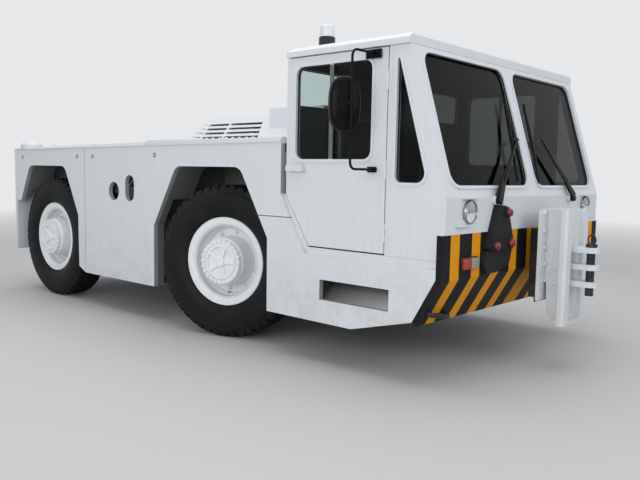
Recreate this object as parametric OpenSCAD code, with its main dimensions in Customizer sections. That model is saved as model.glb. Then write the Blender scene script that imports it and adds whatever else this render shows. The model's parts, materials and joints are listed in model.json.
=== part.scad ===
// Aircraft pushback tractor with a two-seat front cab
// X points forward, Y to the tractor's left, Z up; the origin is on the ground in the middle.

/* [Body] */
// Width over the lower body sides
body_w = 2430; // [2300:10:2600]
// Distance between the axles
wheelbase = 2615; // [2560:5:2700]
// Rear axle to the outer face of the rear plate
rear_overhang = 744; // [730:2:800]
// Front axle to the front face
front_overhang = 2153; // [2100:5:2300]
// Height of the lower edge of the body sides
body_bottom_z = 315; // [280:5:360]
// Height of the side plates' top edge at the rear
side_top_rear_z = 1512; // [1500:2:1530]
// Height of the side plates' top edge behind the cab
side_top_front_z = 1540; // [1532:2:1560]
// Thickness of the side plates, rear plate and nose plate
plate_t = 40; // [25:1:50]
// Thickness of the rear deck lid at the tail
rear_lid_t = 22; // [15:1:35]
// Height of the front deck's top
deck_top_z = 1584; // [1575:1:1600]
// Open joint between neighbouring body plates
joint_gap = 6; // [4:1:12]

/* [Wheels] */
// Tyre radius out to the lugs
tyre_r = 613; // [590:1:625]
// Tyre section width
tyre_w = 315; // [290:5:330]
// Radius of the rim flange
rim_flange_r = 355; // [340:1:365]
// Distance between the tyre centre planes
track_w = 2050; // [2000:5:2070]
// Kingpin to the tyre's centre plane
kingpin_inset = 193; // [175:1:200]
// Steering angle at rest, to the left
rest_steer = 16; // [0:1:25]
// Hub drum's face standing out of the rim flange
hub_proud = 54; // [40:2:80]

/* [Cab] */
// How far the doors stand in from the lower body side
cab_inset = 25; // [15:1:60]
// Front face to the cab's rear wall
cab_len = 1358; // [1330:2:1400]
// Height of the roof
roof_z = 2200; // [2180:5:2260]
// Height of the gutter line under the roof
gutter_z = 2133; // [2125:1:2150]
// Height of the fold between the nose and the windscreen wall
fold_z = 1200; // [1190:2:1210]
// How far the windscreen's top lies behind the front face
screen_rake = 283; // [240:5:320]
// Thickness of the cab's walls and doors
cab_wall_t = 40; // [30:1:50]
// Height of the ledge where the cab sits on its skirt
ledge_z = 766; // [750:2:780]
// Height of the cab floor
floor_z = 800; // [790:1:810]
// Door hinge line behind the front face
door_front = 453; // [440:1:480]
// Glass thickness
glass_t = 8; // [6:1:12]

/* [Front hitch] */
// Front face to the tip of the hitch plates
hitch_reach = 485; // [460:1:520]
// Number of drawbar plates
hitch_plates = 3; // [2:1:3]
// Spacing of the drawbar plates
hitch_pitch = 118; // [100:1:125]
// Thickness of a drawbar plate
hitch_plate_t = 38; // [30:1:45]
// Diameter of the tow pin
tow_pin_d = 56; // [45:1:60]

/* [Rear hitch] */
// Rear plate to the tip of the rear jaw
rear_reach = 178; // [160:1:200]
// Height of the rear jaw's centre
rear_jaw_z = 640; // [600:5:680]

/* [Hidden] */
$fn = 48;

// Driving places along X
body_len = rear_overhang + wheelbase + front_overhang;
overall_len = rear_reach + body_len + hitch_reach;
rear_x = -overall_len / 2 + rear_reach;
front_x = rear_x + body_len;
rear_axle_x = rear_x + rear_overhang;
front_axle_x = rear_axle_x + wheelbase;
cab_rear_x = front_x - cab_len;
axle_z = tyre_r;
half_w = body_w / 2;
cab_half_w = half_w - cab_inset;
kingpin_y = track_w / 2 - kingpin_inset;

// Wheel arches, measured from the axle: the flat top, its two upper corners and the two feet
rear_arch = [[-612, 970, 0], [-404, 1352, 110], [333, 1352, 110], [593, 872, 0], [608, -10, 0]];
front_arch = [[-755, -10, 0], [-755, 854, 0], [-447, 1366, 110], [347, 1366, 110],
    [656, 849, 0], [663, -10, 0]];
rear_arch_foot = 608;
front_arch_back = 755;
front_arch_foot = 663;

// Plate joints along the side
side_joint_x = rear_axle_x + 723;
skirt_joint_z = 1013;
skirt_slope_x = front_x - 1271;
skirt_foot_x = front_x - 1125;
deck_step_x = front_x - 3022;

// Nose: the bend at the bumper's lower edge and the foot of the undercut
nose_bend_z = 692;
nose_foot_z = 400;
nose_foot_x = front_x - 168;
skirt_kink_x = front_x - 686;

// Arch linings: sheet thickness, the narrow edge lining, the wide one and the height where it ends
lining_t = 12;
lining_edge_w = 65;
lining_w = 260;
lining_end_z = 1080;

// Raised frames round the windows
ring_w = 20;
ring_t = 8;

fit_gap = 0.3;
glass_gap = 0.3;
pin_gap = 0.05;

// Chassis: tall rail plates, bulkheads across and the roofs over the tyres
rail_y = 340;
rail_t = 60;
rail_z = 740;
low_rail_z = 470;
rail_drop_len = 240;
bulkhead_t = 30;
bulkhead_low_z = body_bottom_z + 15;
bulkhead_top_z = 1480;
rear_bulkhead_x = rear_axle_x + tyre_r + 35;
mid_bulkhead_x = front_axle_x - front_arch_back - lining_t - joint_gap - bulkhead_t;
bay_roof_z = 1390;
bay_roof_t = 12;
floor_t = 30;

// Unit vector of a 2D vector
function unit(v) = v / norm(v);

// Points of the arc that rounds corner q, between p and s, with radius r
function fillet(p, q, s, r, n) =
    let(
        u = unit(p - q),
        v = unit(s - q),
        half = acos(u * v) / 2,
        c = q + unit(u + v) * r / sin(half),
        a = q + u * r / tan(half) - c,
        b = q + v * r / tan(half) - c,
        start = atan2(a.y, a.x),
        sweep = (atan2(b.y, b.x) - start + 900) % 360 - 180
    )
    [for (i = [0:n]) c + r * [cos(start + sweep * i / n), sin(start + sweep * i / n)]];

// Outline from corners whose columns are x, y and corner radius
function rounded(corners, n = 6) =
    let(k = len(corners), flat = [for (c = corners) [c[0], c[1]]])
    [for (i = [0:k - 1]) each corners[i][2] == 0
        ? [flat[i]]
        : fillet(flat[(i + k - 1) % k], flat[i], flat[(i + 1) % k], corners[i][2], n)];

// Rectangle outline with rounded corners
function pane(x0, z0, x1, z1, r, n = 6) =
    rounded([[x0, z0, r], [x1, z0, r], [x1, z1, r], [x0, z1, r]], n);

// Corners moved outward by t: the outline runs anticlockwise, and a clockwise one takes a negative t
function grown(corners, t) =
    let(k = len(corners), flat = [for (c = corners) [c[0], c[1]]])
    [for (i = [0:k - 1])
        let(
            a = unit(flat[i] - flat[(i + k - 1) % k]),
            b = unit(flat[(i + 1) % k] - flat[i]),
            n = [a.y + b.y, -a.x - b.x] / (1 + a * b),
            turn = sign(a.x * b.y - a.y * b.x) * t
        )
        [flat[i].x + t * n.x, flat[i].y + t * n.y, corners[i][2] == 0 ? 0 : corners[i][2] + turn]];

// Corners moved along X
function moved(corners, x) = [for (c = corners) [c[0] + x, c[1], c[2]]];

// Rectangle corners for rounded()
function pane_corners(p, r) = [[p[0], p[1], r], [p[2], p[1], r], [p[2], p[3], r], [p[0], p[3], r]];

// Inner face of the nose plate at depth t: foot, bend and the height where it meets the upright part
function nose_inner(t) =
    let(
        run = unit([front_x - nose_foot_x, nose_bend_z - nose_foot_z]),
        foot = [nose_foot_x, nose_foot_z] + t * [-run.y, run.x],
        bend_z = foot.y + (front_x - t - foot.x) * run.y / run.x
    )
    [foot, [front_x - t, bend_z]];

// Height of the side plates' top edge at x
function side_top(x) =
    side_top_rear_z + (side_top_front_z - side_top_rear_z) * (x - rear_x) / (cab_rear_x - rear_x);

// X of the windscreen plane at height z
function screen_x(z) =
    front_x - screen_rake * max(0, z - fold_z) / (gutter_z - fold_z);

// Plate with an outline in X and Z, from y out to y + t
module side_plate(outline, y, t) {
    translate([0, y + t, 0])
        rotate([90, 0, 0])
            linear_extrude(t)
                polygon(outline);
}

// Bar with a profile in Y and Z, from x to x + length
module profile_bar(profile, x, length) {
    translate([x, 0, 0])
        rotate([90, 0, 90])
            linear_extrude(length)
                polygon(profile);
}

// Box given by its low and high corners
module block(low, high) {
    translate(low)
        cube(high - low);
}

// Children are modelled on the left; side -1 mirrors them to the right
module on_side(side) {
    if (side > 0) children();
    else mirror([0, 1, 0]) children();
}

// Puts a wheel modelled with its outboard face up onto an axle end
module outboard(side) {
    rotate([side > 0 ? -90 : 90, 0, 0])
        children();
}

// Turns what a kingpin carries to the resting steering angle
module steered(side) {
    translate([front_axle_x, side * kingpin_y, axle_z])
        rotate([0, 0, rest_steer])
            children();
}

module arch_cut(arch, x) {
    translate([x, 0, 0])
        rotate([90, 0, 0])
            linear_extrude(3 * body_w, center = true)
                polygon(rounded(arch));
}

// Sheet lining along an arch's edge, reaching in by width, where X and Z lie between low and high
module arch_lining(arch, x, width, low, high) {
    y0 = half_w - plate_t - width;
    intersection() {
        difference() {
            side_plate(rounded(grown(moved(arch, x), -lining_t)), y0, width + 1);
            side_plate(rounded(moved(arch, x)), y0 - 1, width + 3);
        }
        block([low.x, y0 - 1, low.y], [high.x, half_w, high.y]);
    }
}

// Raised frame round an opening whose corners are given, on the face at y
module side_ring(corners, y) {
    difference() {
        side_plate(rounded(grown(corners, ring_w)), y - 1, ring_t + 1);
        side_plate(rounded(corners), y - 2, ring_t + 3);
    }
}

// Round cap with a straight edge and a domed top
module domed_cap(r, edge_h, dome_h) {
    ball_r = (r * r + dome_h * dome_h) / (2 * dome_h);
    cylinder(h = edge_h, r = r);
    intersection() {
        translate([0, 0, edge_h + dome_h - ball_r])
            sphere(ball_r);
        cylinder(h = edge_h + dome_h, r = r);
    }
}

module chassis_frame() {
    tail_x = rear_x + plate_t;
    cab_x = cab_rear_x - fit_gap;
    inner_y = half_w - plate_t;
    front_bulkhead_x = cab_x - bulkhead_t;
    bays = [[tail_x, rear_bulkhead_x + 1], [mid_bulkhead_x, cab_x]];
    color("dimgray") {
        for (side = [-1, 1]) on_side(side) {
            block([tail_x, rail_y, rail_z], [cab_x, rail_y + rail_t, bay_roof_z + 1]);
            block([cab_x - rail_drop_len, rail_y, low_rail_z], [cab_x, rail_y + rail_t, rail_z + 1]);
            // roofs over the tyres
            for (bay = bays)
                block([bay[0], rail_y, bay_roof_z], [bay[1], inner_y, bay_roof_z + bay_roof_t]);
        }
        for (x = [rear_bulkhead_x, mid_bulkhead_x, front_bulkhead_x])
            block([x, -inner_y, bulkhead_low_z], [x + bulkhead_t, inner_y, bulkhead_top_z]);
        block([tail_x, -rail_y - 1, rail_z], [tail_x + bulkhead_t, rail_y + 1, bay_roof_z]);
    }
}

beam_h = 190;
beam_t = 170;
// Differential: radius over its nose, radius of the bowl, radius where it meets the shaft, width
diff_r = 215;
diff_bowl_r = 118;
diff_neck_r = 86;
diff_w = 300;

// Axle casing with its differential bulge, ending at half_span each side
module axle_casing(half_span) {
    block([-beam_t / 2, -half_span, -beam_h / 2], [beam_t / 2, half_span, beam_h / 2]);
    rotate([90, 0, 0])
        cylinder(h = diff_w, r = diff_bowl_r, center = true);
    rotate([0, 90, 0])
        cylinder(h = 2 * diff_r, r1 = diff_bowl_r, r2 = diff_neck_r, center = true);
    for (side = [-1, 1])
        translate([-beam_t / 2, side * (rail_y + rail_t / 2) - rail_t / 2, 0])
            cube([beam_t, rail_t, rail_z - axle_z]);
}

fork_h = 330;
fork_t = 45;
kingpin_r = 32;
fork_r = 75;
fork_back_t = 30;
// Length of kingpin over the fork's two arms
pin_over = 5;

module front_axle() {
    beam_end = kingpin_y - fork_r - 40;
    eye_r = 60;
    color("dimgray") translate([front_axle_x, 0, axle_z])
        difference() {
            union() {
                axle_casing(beam_end + 20);
                for (side = [-1, 1]) on_side(side) {
                    for (low = [-fork_h / 2, fork_h / 2 - fork_t]) {
                        block([-eye_r, beam_end - fork_back_t, low], [eye_r, kingpin_y, low + fork_t]);
                        translate([0, kingpin_y, low])
                            cylinder(h = fork_t, r = eye_r);
                    }
                    block([-eye_r, beam_end - fork_back_t, -fork_h / 2], [eye_r, beam_end, fork_h / 2]);
                }
            }
            for (side = [-1, 1])
                translate([0, side * kingpin_y, 0])
                    cylinder(h = fork_h + 2 * pin_over, r = kingpin_r + pin_gap, center = true);
        }
}

module rear_axle() {
    casing_end = track_w / 2 - 150;
    color("dimgray") translate([rear_axle_x, 0, axle_z]) {
        axle_casing(casing_end);
        for (side = [-1, 1]) on_side(side)
            translate([0, casing_end, 0])
                rotate([-90, 0, 0])
                    cylinder(h = track_w / 2 - disc_seat - fit_gap - casing_end, r = hub_barrel_r - 20);
    }
}

hub_barrel_r = 190;
disc_seat = 60;

module knuckle(side) {
    seat = kingpin_inset - disc_seat - fit_gap;
    stub_r = 95;
    play = 2;
    color("dimgray") steered(side) on_side(side) {
        cylinder(h = fork_h - 2 * (fork_t + play), r = fork_r, center = true);
        cylinder(h = fork_h + 2 * pin_over, r = kingpin_r, center = true);
        rotate([-90, 0, 0])
            cylinder(h = seat, r = stub_r);
    }
}

tyre_blocks = 46;
notch_depth = 17;
bead_r = 305;
// Where a block starts, where it ends and the middle of the notch behind it, as parts of the pitch
block_steps = [0, 0.66, 0.83];

// Points that ring r gives to block i: one if it's plain, three if it's notched
function ring_points(r, i) =
    [for (j = [0:r[2] == 0 ? 0 : 2])
        let(a = 360 / tyre_blocks * (i + block_steps[j]) - 90, radius = r[0] - (j == 2 ? r[2] : 0))
        [radius * cos(a), radius * sin(a), r[1] - (j == 2 ? sign(r[1]) * r[2] / 2 : 0)]];

// Number of points per block in ring r, and the number of the first point of ring j
function ring_size(r) = r[2] == 0 ? 1 : 3;
function ring_start(rings, j) = j == 0 ? 0 : ring_start(rings, j - 1) + tyre_blocks * ring_size(rings[j - 1]);

// Number of point m of block i in ring j, counted on into the next blocks
function ring_point(rings, j, i, m) =
    let(s = ring_size(rings[j]))
    ring_start(rings, j) + (i * s + m) % (tyre_blocks * s);

// Faces of block i between ring j and the next one
function ring_faces(rings, j, i) =
    let(
        n = (j + 1) % len(rings),
        a = ring_point(rings, j, i, 0),
        b = ring_point(rings, j, i + 1, 0),
        c = ring_point(rings, n, i, 0),
        d = ring_point(rings, n, i + 1, 0)
    )
    ring_size(rings[n]) == 3
        ? [let(m = ring_point(rings, n, i, 1), g = ring_point(rings, n, i, 2))
            each [[a, m, c], [a, b, m], [b, g, m], [b, d, g]]]
        : ring_size(rings[j]) == 3
            ? [let(m = ring_point(rings, j, i, 1), g = ring_point(rings, j, i, 2))
                each [[a, m, c], [m, d, c], [m, g, d], [g, b, d]]]
            : [[a, b, d, c]];

// Tyre rings from one bead to the other. Columns: radius, height from the centre plane, depth of the notch
// between two shoulder blocks
module tyre(side, front) {
    half = tyre_w / 2;
    bead_half = 110.5;
    outer_half = [
        [bead_r / cos(180 / tyre_blocks), bead_half, 0],
        [rim_flange_r + 0.5, bead_half + 2, 0],
        [rim_flange_r + 75, half - 1, 0],
        [tyre_r - 68, half - 10, 0],
        [tyre_r, 0.42 * tyre_w, notch_depth],
        [tyre_r, 0.25 * tyre_w, 0]
    ];
    k = len(outer_half);
    inner_half = [for (i = [k - 1:-1:0]) [outer_half[i][0], -outer_half[i][1], outer_half[i][2]]];
    rings = concat(outer_half, inner_half);
    color("#26262a")
        wheel_place(side, front)
            polyhedron(
                points = [for (r = rings) for (i = [0:tyre_blocks - 1]) each ring_points(r, i)],
                faces = [for (j = [0:2 * k - 1]) for (i = [0:tyre_blocks - 1]) each ring_faces(rings, j, i)]
            );
}

// Places a wheel's centre: front wheels turn with their kingpin
module wheel_place(side, front) {
    if (front)
        steered(side)
            translate([0, side * kingpin_inset, 0])
                outboard(side)
                    children();
    else
        translate([rear_axle_x, side * track_w / 2, axle_z])
            outboard(side)
                children();
}

rim_w = 250;
// Cover of the hub drum: bolt ring outside and inside, its bolts, and the broad ribs on its face
hub_ring_r = 180;
hub_ring_in = 148;
hub_bolts = 24;
hub_ribs = 5;
hub_rib_w = 26;
hub_rib_h = 9;
// Slots at the disc's edge: radius, depth outward and length
disc_slot = [262, 14, 30];
disc_slot_angles = [-95, 55];

// Rim with its deep dished disc and the hub reduction drum
module wheel(side, front) {
    half = rim_w / 2;
    face_z = half + hub_proud;
    // half section from the disc's back round the rim to the cover's middle: radius, height
    profile = [
        [0, -disc_seat], [hub_barrel_r + 55, -disc_seat], [hub_barrel_r + 85, -40],
        [284, -30], [284, -half], [rim_flange_r, -half],
        [rim_flange_r, -half + 12], [304.7, -half + 14], [304.7, half - 14],
        [rim_flange_r, half - 12], [rim_flange_r, half - 3], [rim_flange_r - 6, half],
        [rim_flange_r - 12, half - 5], [318, half - 5], [300, half - 12],
        [286, half - 28], [286, 40], [hub_barrel_r + 70, -8], [hub_barrel_r + 10, -20],
        [hub_barrel_r, face_z - 40], [hub_ring_r - 4, face_z - 22], [hub_ring_r, face_z - 22],
        [hub_ring_r, face_z], [hub_ring_in, face_z], [hub_ring_in, face_z - 8], [140, face_z - 8],
        [138, face_z + 4], [120, face_z + 4], [118, face_z - 8], [0, face_z - 8]
    ];
    color("whitesmoke")
        wheel_place(side, front) {
            difference() {
                rotate_extrude($fn = 64)
                    polygon(profile);
                // scallops between the bolts of the drum's cover
                for (i = [0:hub_bolts - 1])
                    rotate([0, 0, 360 / hub_bolts * (i + 0.5)])
                        translate([hub_ring_r + 3, 0, face_z - 24])
                            cylinder(h = 30, r = 9, $fn = 16);
                for (a = disc_slot_angles)
                    rotate([0, 0, a])
                        translate([disc_slot[0], -disc_slot[2] / 2, -100])
                            cube([disc_slot[1], disc_slot[2], 200]);
            }
            for (i = [0:hub_ribs - 1])
                rotate([0, 0, 360 / hub_ribs * i])
                    translate([30, -hub_rib_w / 2, face_z - hub_rib_h])
                        cube([92, hub_rib_w, hub_rib_h]);
            // two steps of the boss. Columns: height, radius
            for (step = [[16, 42], [22, 24]])
                translate([0, 0, face_z - hub_rib_h])
                    cylinder(h = step[0], r = step[1]);
        }
}

// Engine block: its reach behind and before the front axle, and its height over the rails' lower edge
engine_reach = [620, 560];
engine_rise = 60;

module power_unit() {
    color("slategray")
        block([front_axle_x - engine_reach[0], -rail_y + fit_gap, rail_z + engine_rise],
            [front_axle_x + engine_reach[1], rail_y - fit_gap, bulkhead_top_z]);
}

rear_plate_z = 430;
rear_lamp_r = 48;
rear_lamp_in = 150;
rear_lamp_heights = [1180, 1300];

// Rear plate with the two-lipped jaw of the rear hitch and the tail lamps
module rear_plate() {
    jaw_w = 220;
    jaw_base_h = 240;
    jaw_base_t = 25;
    jaw_r = 70;
    lip_t = 30;
    lip_up = 60;
    eye_r = 26;
    color("white") {
        block([rear_x, -half_w, rear_plate_z], [rear_x + plate_t, half_w, side_top_rear_z]);
        for (z = [rear_jaw_z - lip_up, rear_jaw_z + lip_up])
            difference() {
                union() {
                    translate([rear_x - rear_reach + jaw_r, 0, z - lip_t / 2])
                        cylinder(h = lip_t, r = jaw_r);
                    block([rear_x - rear_reach + jaw_r, -jaw_r, z - lip_t / 2], [rear_x + 1, jaw_r, z + lip_t / 2]);
                }
                translate([rear_x - rear_reach + jaw_r, 0, z - lip_t])
                    cylinder(h = 2 * lip_t, r = eye_r);
            }
        block([rear_x - jaw_base_t, -jaw_w / 2, rear_jaw_z - jaw_base_h / 2],
            [rear_x + 1, jaw_w / 2, rear_jaw_z + jaw_base_h / 2]);
        for (side = [-1, 1]) on_side(side)
            for (z = rear_lamp_heights)
                translate([rear_x + 1, half_w - rear_lamp_in, z])
                    rotate([0, -90, 0])
                        domed_cap(rear_lamp_r, 20, 8);
    }
}

module side_rear(side) {
    x0 = rear_x + plate_t + fit_gap;
    x1 = side_joint_x - joint_gap / 2;
    strip_z = rear_arch[0].y;
    arch = concat([[-800, strip_z, 0]], rear_arch, [[-800, -10, 0]]);
    color("white") on_side(side)
        difference() {
            side_plate([[x0, strip_z], [x1, body_bottom_z], [x1, side_top(x1)], [x0, side_top(x0)]],
                half_w - plate_t, plate_t);
            arch_cut(arch, rear_axle_x);
        }
    color("white") on_side(side) {
        arch_lining(arch, rear_axle_x, lining_w, [rear_axle_x + rear_arch[0].x, lining_end_z], [x1, deck_top_z]);
        arch_lining(arch, rear_axle_x, lining_edge_w, [rear_axle_x + rear_arch[0].x, strip_z + 3 * lining_t],
            [x1, deck_top_z]);
        arch_lining(arch, rear_axle_x, lining_edge_w, [rear_axle_x, rear_arch[3].y + 2 * lining_t],
            [x1, deck_top_z]);
    }
}

// Ports in the middle side plate: places behind the front face, heights and radius
round_port_back = 3536;
round_port_z = 1129;
port_r = 85;
oblong_port = [3351, 1043, 3209, 1280];

module side_mid(side) {
    x0 = side_joint_x + joint_gap / 2;
    x1 = cab_rear_x - joint_gap;
    z1 = skirt_joint_z + joint_gap / 2;
    outline = [
        [x0, body_bottom_z], [front_axle_x, body_bottom_z], [front_axle_x, z1],
        [skirt_slope_x - joint_gap, z1], [x1, z1 + 164], [x1, side_top(x1)], [x0, side_top(x0)]
    ];
    color("white") on_side(side)
        difference() {
            side_plate(outline, half_w - plate_t, plate_t);
            arch_cut(front_arch, front_axle_x);
            translate([front_x - round_port_back, half_w, round_port_z])
                rotate([90, 0, 0])
                    cylinder(h = 3 * plate_t, r = port_r, center = true);
            side_plate(pane(front_x - oblong_port[0], oblong_port[1], front_x - oblong_port[2],
                oblong_port[3], 70), half_w - 2 * plate_t, 3 * plate_t);
        }
    color("white") on_side(side) {
        arch_lining(front_arch, front_axle_x, lining_w, [x0, lining_end_z], [x1, deck_top_z]);
        arch_lining(front_arch, front_axle_x, lining_edge_w, [x0, body_bottom_z], [front_axle_x, deck_top_z]);
        arch_lining(front_arch, front_axle_x, lining_edge_w, [front_axle_x - 1, z1], [x1, deck_top_z]);
    }
}

// Vent in the cab skirt, measured from the front face
vent = [[-973, 462], [-383, 603]];
// Ledge that the cab's side stands on
ledge_h = 60;

module cab_skirt(side) {
    x0 = front_axle_x + 500;
    outline = [
        [x0, skirt_joint_z - joint_gap / 2], [x0, 308], [skirt_kink_x, 300],
        each nose_inner(plate_t + fit_gap), [front_x - plate_t - fit_gap, ledge_z],
        [skirt_foot_x, ledge_z], [skirt_slope_x, skirt_joint_z - joint_gap / 2]
    ];
    ledge_in = cab_half_w - cab_wall_t;
    color("white") on_side(side)
        arch_lining(front_arch, front_axle_x, lining_edge_w, [front_axle_x, 308],
            [cab_rear_x, skirt_joint_z - joint_gap / 2]);
    color("white") on_side(side)
        difference() {
            union() {
                side_plate(outline, half_w - plate_t, plate_t);
                block([skirt_foot_x, ledge_in, ledge_z - ledge_h],
                    [front_x - plate_t - fit_gap, cab_half_w, floor_z + 15]);
                block([skirt_foot_x, ledge_in, ledge_z - ledge_h],
                    [front_x - plate_t - fit_gap, half_w, ledge_z]);
            }
            arch_cut(front_arch, front_axle_x);
            translate([front_x, 0, 0])
                side_plate([[vent[0][0], vent[0][1]], [vent[1][0], vent[0][1]],
                    [vent[1][0], vent[1][1]], [vent[0][0], vent[1][1]]], half_w - 2 * plate_t, 3 * plate_t);
        }
}

// Rear lid with its filler cap and lifting knobs, placed from the tail and from the right edge
filler_at = [194, 100];
filler = [112, 44, 46];
knobs = [800, 1560];
knob_in = 45;
knob = [16, 24, 10];

module deck_rear() {
    x1 = deck_step_x - joint_gap / 2;
    color("white")
        side_plate([[rear_x, side_top(rear_x) + fit_gap], [x1, side_top(x1) + fit_gap],
            [x1, deck_top_z - 14], [rear_x, side_top(rear_x) + rear_lid_t]], -half_w, body_w);
    color("white") {
        translate([rear_x + filler_at.x, filler_at.y - half_w, side_top(rear_x) + rear_lid_t - 2])
            domed_cap(filler[0], filler[1], filler[2]);
        for (x = knobs)
            translate([rear_x + x, knob_in - half_w, side_top(rear_x + x) + rear_lid_t])
                domed_cap(knob[0], knob[1], knob[2]);
    }
}

// Louvred hump over the engine and the raised box at its front end
hump_rear_x = front_x - 3018;
hump_front_x = cab_rear_x - 10;
hump_base_z = 1560;
hump_base_y = 850;
hump_top_y = 680;
hump_top_z = 1795;
hump_slope = 200;
hump_t = 18;
hump_box_z = 1845;
hump_box_len = 590;
hump_box_y = 760;
hump_inner_y = 500;

// Slots between the slats and the frames that carry them
louvres = 4;
louvre_z = 1612;
louvre_pitch = 38;
louvre_h = 18;
louvre_end_x = hump_rear_x + 975;
louvre_frames = [hump_rear_x + 230, hump_rear_x + 520];
louvre_frame_t = 25;

// Front deck with the hatch under the hump. Columns: behind the hump's rear end, before the cab, half width
hatch = [260, 150, 600];

module deck_front() {
    x0 = deck_step_x + joint_gap / 2;
    x1 = cab_rear_x - joint_gap;
    color("white")
        difference() {
            side_plate([[x0, side_top(x0) + fit_gap], [x1, side_top(x1) + fit_gap],
                [x1, deck_top_z], [x0, deck_top_z]], -half_w, body_w);
            block([hump_rear_x + hatch[0], -hatch[2], deck_top_z - 200],
                [x1 - hatch[1], hatch[2], deck_top_z + 100]);
        }
}

// Louvred hump: the body section across, and its slope at the rear end
module hump_form(inset) {
    intersection() {
        profile_bar([
            [-hump_base_y + inset, hump_base_z], [hump_base_y - inset, hump_base_z],
            [hump_top_y - inset, hump_top_z - inset], [-hump_top_y + inset, hump_top_z - inset]
        ], hump_rear_x - 50, 2000);
        side_plate([
            [hump_rear_x + inset, hump_base_z], [hump_front_x - inset, hump_base_z],
            [hump_front_x - inset, hump_top_z + 50], [hump_rear_x + hump_slope + 30 + inset, hump_top_z + 50],
            [hump_rear_x + hump_slope + inset, hump_top_z]
        ], -hump_base_y - 50, 2 * hump_base_y + 100);
    }
}

module engine_cover() {
    low = hump_base_z - 60;
    high = hump_top_z + 105;
    wide = hump_base_y + 50;
    box_x = hump_front_x - hump_box_len;
    color("white")
        difference() {
            union() {
                difference() {
                    hump_form(0);
                    hump_form(hump_t);
                }
                // frames that carry the slats
                for (x = louvre_frames)
                    intersection() {
                        hump_form(4);
                        difference() {
                            block([x, -wide, low], [x + louvre_frame_t, wide, high]);
                            block([x - 5, -hump_inner_y, low],
                                [x + louvre_frame_t + 5, hump_inner_y, hump_top_z - 45]);
                        }
                    }
                // raised box against the cab
                difference() {
                    block([box_x, -hump_box_y, hump_base_z + 40], [hump_front_x, hump_box_y, hump_box_z]);
                    block([box_x + hump_t, hump_t - hump_box_y, low],
                        [hump_front_x - hump_t, hump_box_y - hump_t, hump_box_z - hump_t]);
                }
            }
            for (i = [0:louvres - 1])
                difference() {
                    block([hump_rear_x - 20, -wide, louvre_z + i * louvre_pitch],
                        [louvre_end_x - i * 12, wide, louvre_z + louvre_h + i * louvre_pitch]);
                    for (x = louvre_frames)
                        block([x, 20 - wide, low], [x + louvre_frame_t, wide - 20, high]);
                    block([hump_rear_x + 300, -hump_inner_y, low], [hump_front_x, hump_inner_y, high]);
                }
            block([hump_rear_x - 50, -wide, low], [hump_front_x + 50, wide, deck_top_z + fit_gap]);
        }
}

// Cab floor plate on the low rails that also carry the nose
module cab_floor() {
    nose_x = front_x - screen_rake;
    side_y = cab_half_w - cab_wall_t - fit_gap;
    low_z = floor_z - floor_t;
    rail_top = low_z - fit_gap;
    plate_x = cab_rear_x + cab_wall_t + fit_gap;
    nose_in_x = front_x - plate_t - fit_gap;
    color("dimgray") {
        block([plate_x, -side_y, low_z], [nose_in_x, side_y, floor_z]);
        for (side = [-1, 1]) on_side(side) {
            block([cab_rear_x, rail_y, low_rail_z], [nose_x, rail_y + rail_t, rail_top]);
            block([plate_x, rail_y, rail_top - 1], [nose_in_x, rail_y + rail_t, low_z + 1]);
            // bracket out to the nose plate
            block([nose_x - 1, rail_y, nose_bend_z + 30], [nose_in_x, rail_y + rail_t, rail_top]);
        }
        block([nose_x - bulkhead_t, -rail_y - 1, low_rail_z], [nose_x, rail_y + 1, rail_top]);
    }
}

// Nose: bent plate, full width over the bumper and cab width above it
module cab_nose() {
    bumper_top_z = 985;
    lap = 20;
    t = plate_t;
    color("white") {
        side_plate([
            [nose_foot_x, nose_foot_z], [front_x, nose_bend_z], [front_x, bumper_top_z],
            [front_x - t, bumper_top_z], nose_inner(t)[1], nose_inner(t)[0]
        ], -half_w, body_w);
        side_plate([
            [front_x - t, bumper_top_z - lap], [front_x, bumper_top_z - lap], [front_x, fold_z],
            [front_x - t, fold_z]
        ], -cab_half_w, 2 * cab_half_w);
        // brows over the head lamps
        for (side = [-1, 1]) on_side(side)
            block([front_x - 1, head_lamp_y - brow_half_w, fold_z - 8],
                [front_x + 32, head_lamp_y + brow_half_w, fold_z]);
    }
}

// Rear windows: y from the cab's side in, heights
rear_window = [590, 1810, 80, 2075];

module cab_rear_wall() {
    color("white")
        difference() {
            block([cab_rear_x, -cab_half_w + cab_wall_t + 5, floor_z - floor_t],
                [cab_rear_x + cab_wall_t, cab_half_w - cab_wall_t - 5, gutter_z]);
            for (side = [-1, 1]) on_side(side)
                profile_bar(pane(cab_half_w - rear_window[0], rear_window[1], cab_half_w - rear_window[2],
                    rear_window[3], 50), cab_rear_x - 10, cab_wall_t + 20);
        }
}

module cab_roof() {
    x0 = cab_rear_x + 31;
    x1 = front_x - screen_rake + 2;
    brim = 20;
    color("white")
        intersection() {
            side_plate([[x0, gutter_z + fit_gap], [x1, gutter_z + fit_gap], [x1 - 3, roof_z - 12],
                [x1 - 15, roof_z], [x0 + 40, roof_z], [x0, roof_z - 30]], -body_w, 2 * body_w);
            profile_bar([[-cab_half_w - brim, gutter_z], [cab_half_w + brim, gutter_z],
                [cab_half_w + brim, roof_z - 30], [cab_half_w - 20, roof_z],
                [-cab_half_w + 20, roof_z], [-cab_half_w - brim, roof_z - 30]], x0 - 10, cab_len);
        }
}

screen_angle = atan2(screen_rake, gutter_z - fold_z);
screen_len = norm([screen_rake, gutter_z - fold_z]);
// Windscreen opening in the plane of the wall: y from the centre, height along the slope, radius
screen_pane = [62, 75, cab_half_w - 90, 935];
screen_pane_r = 90;

// Children lie in the windscreen wall: their x is across, their y is up the slope
module in_screen() {
    translate([front_x, 0, fold_z])
        rotate([0, -screen_angle, 0])
            rotate([90, 0, 90])
                children();
}

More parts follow.
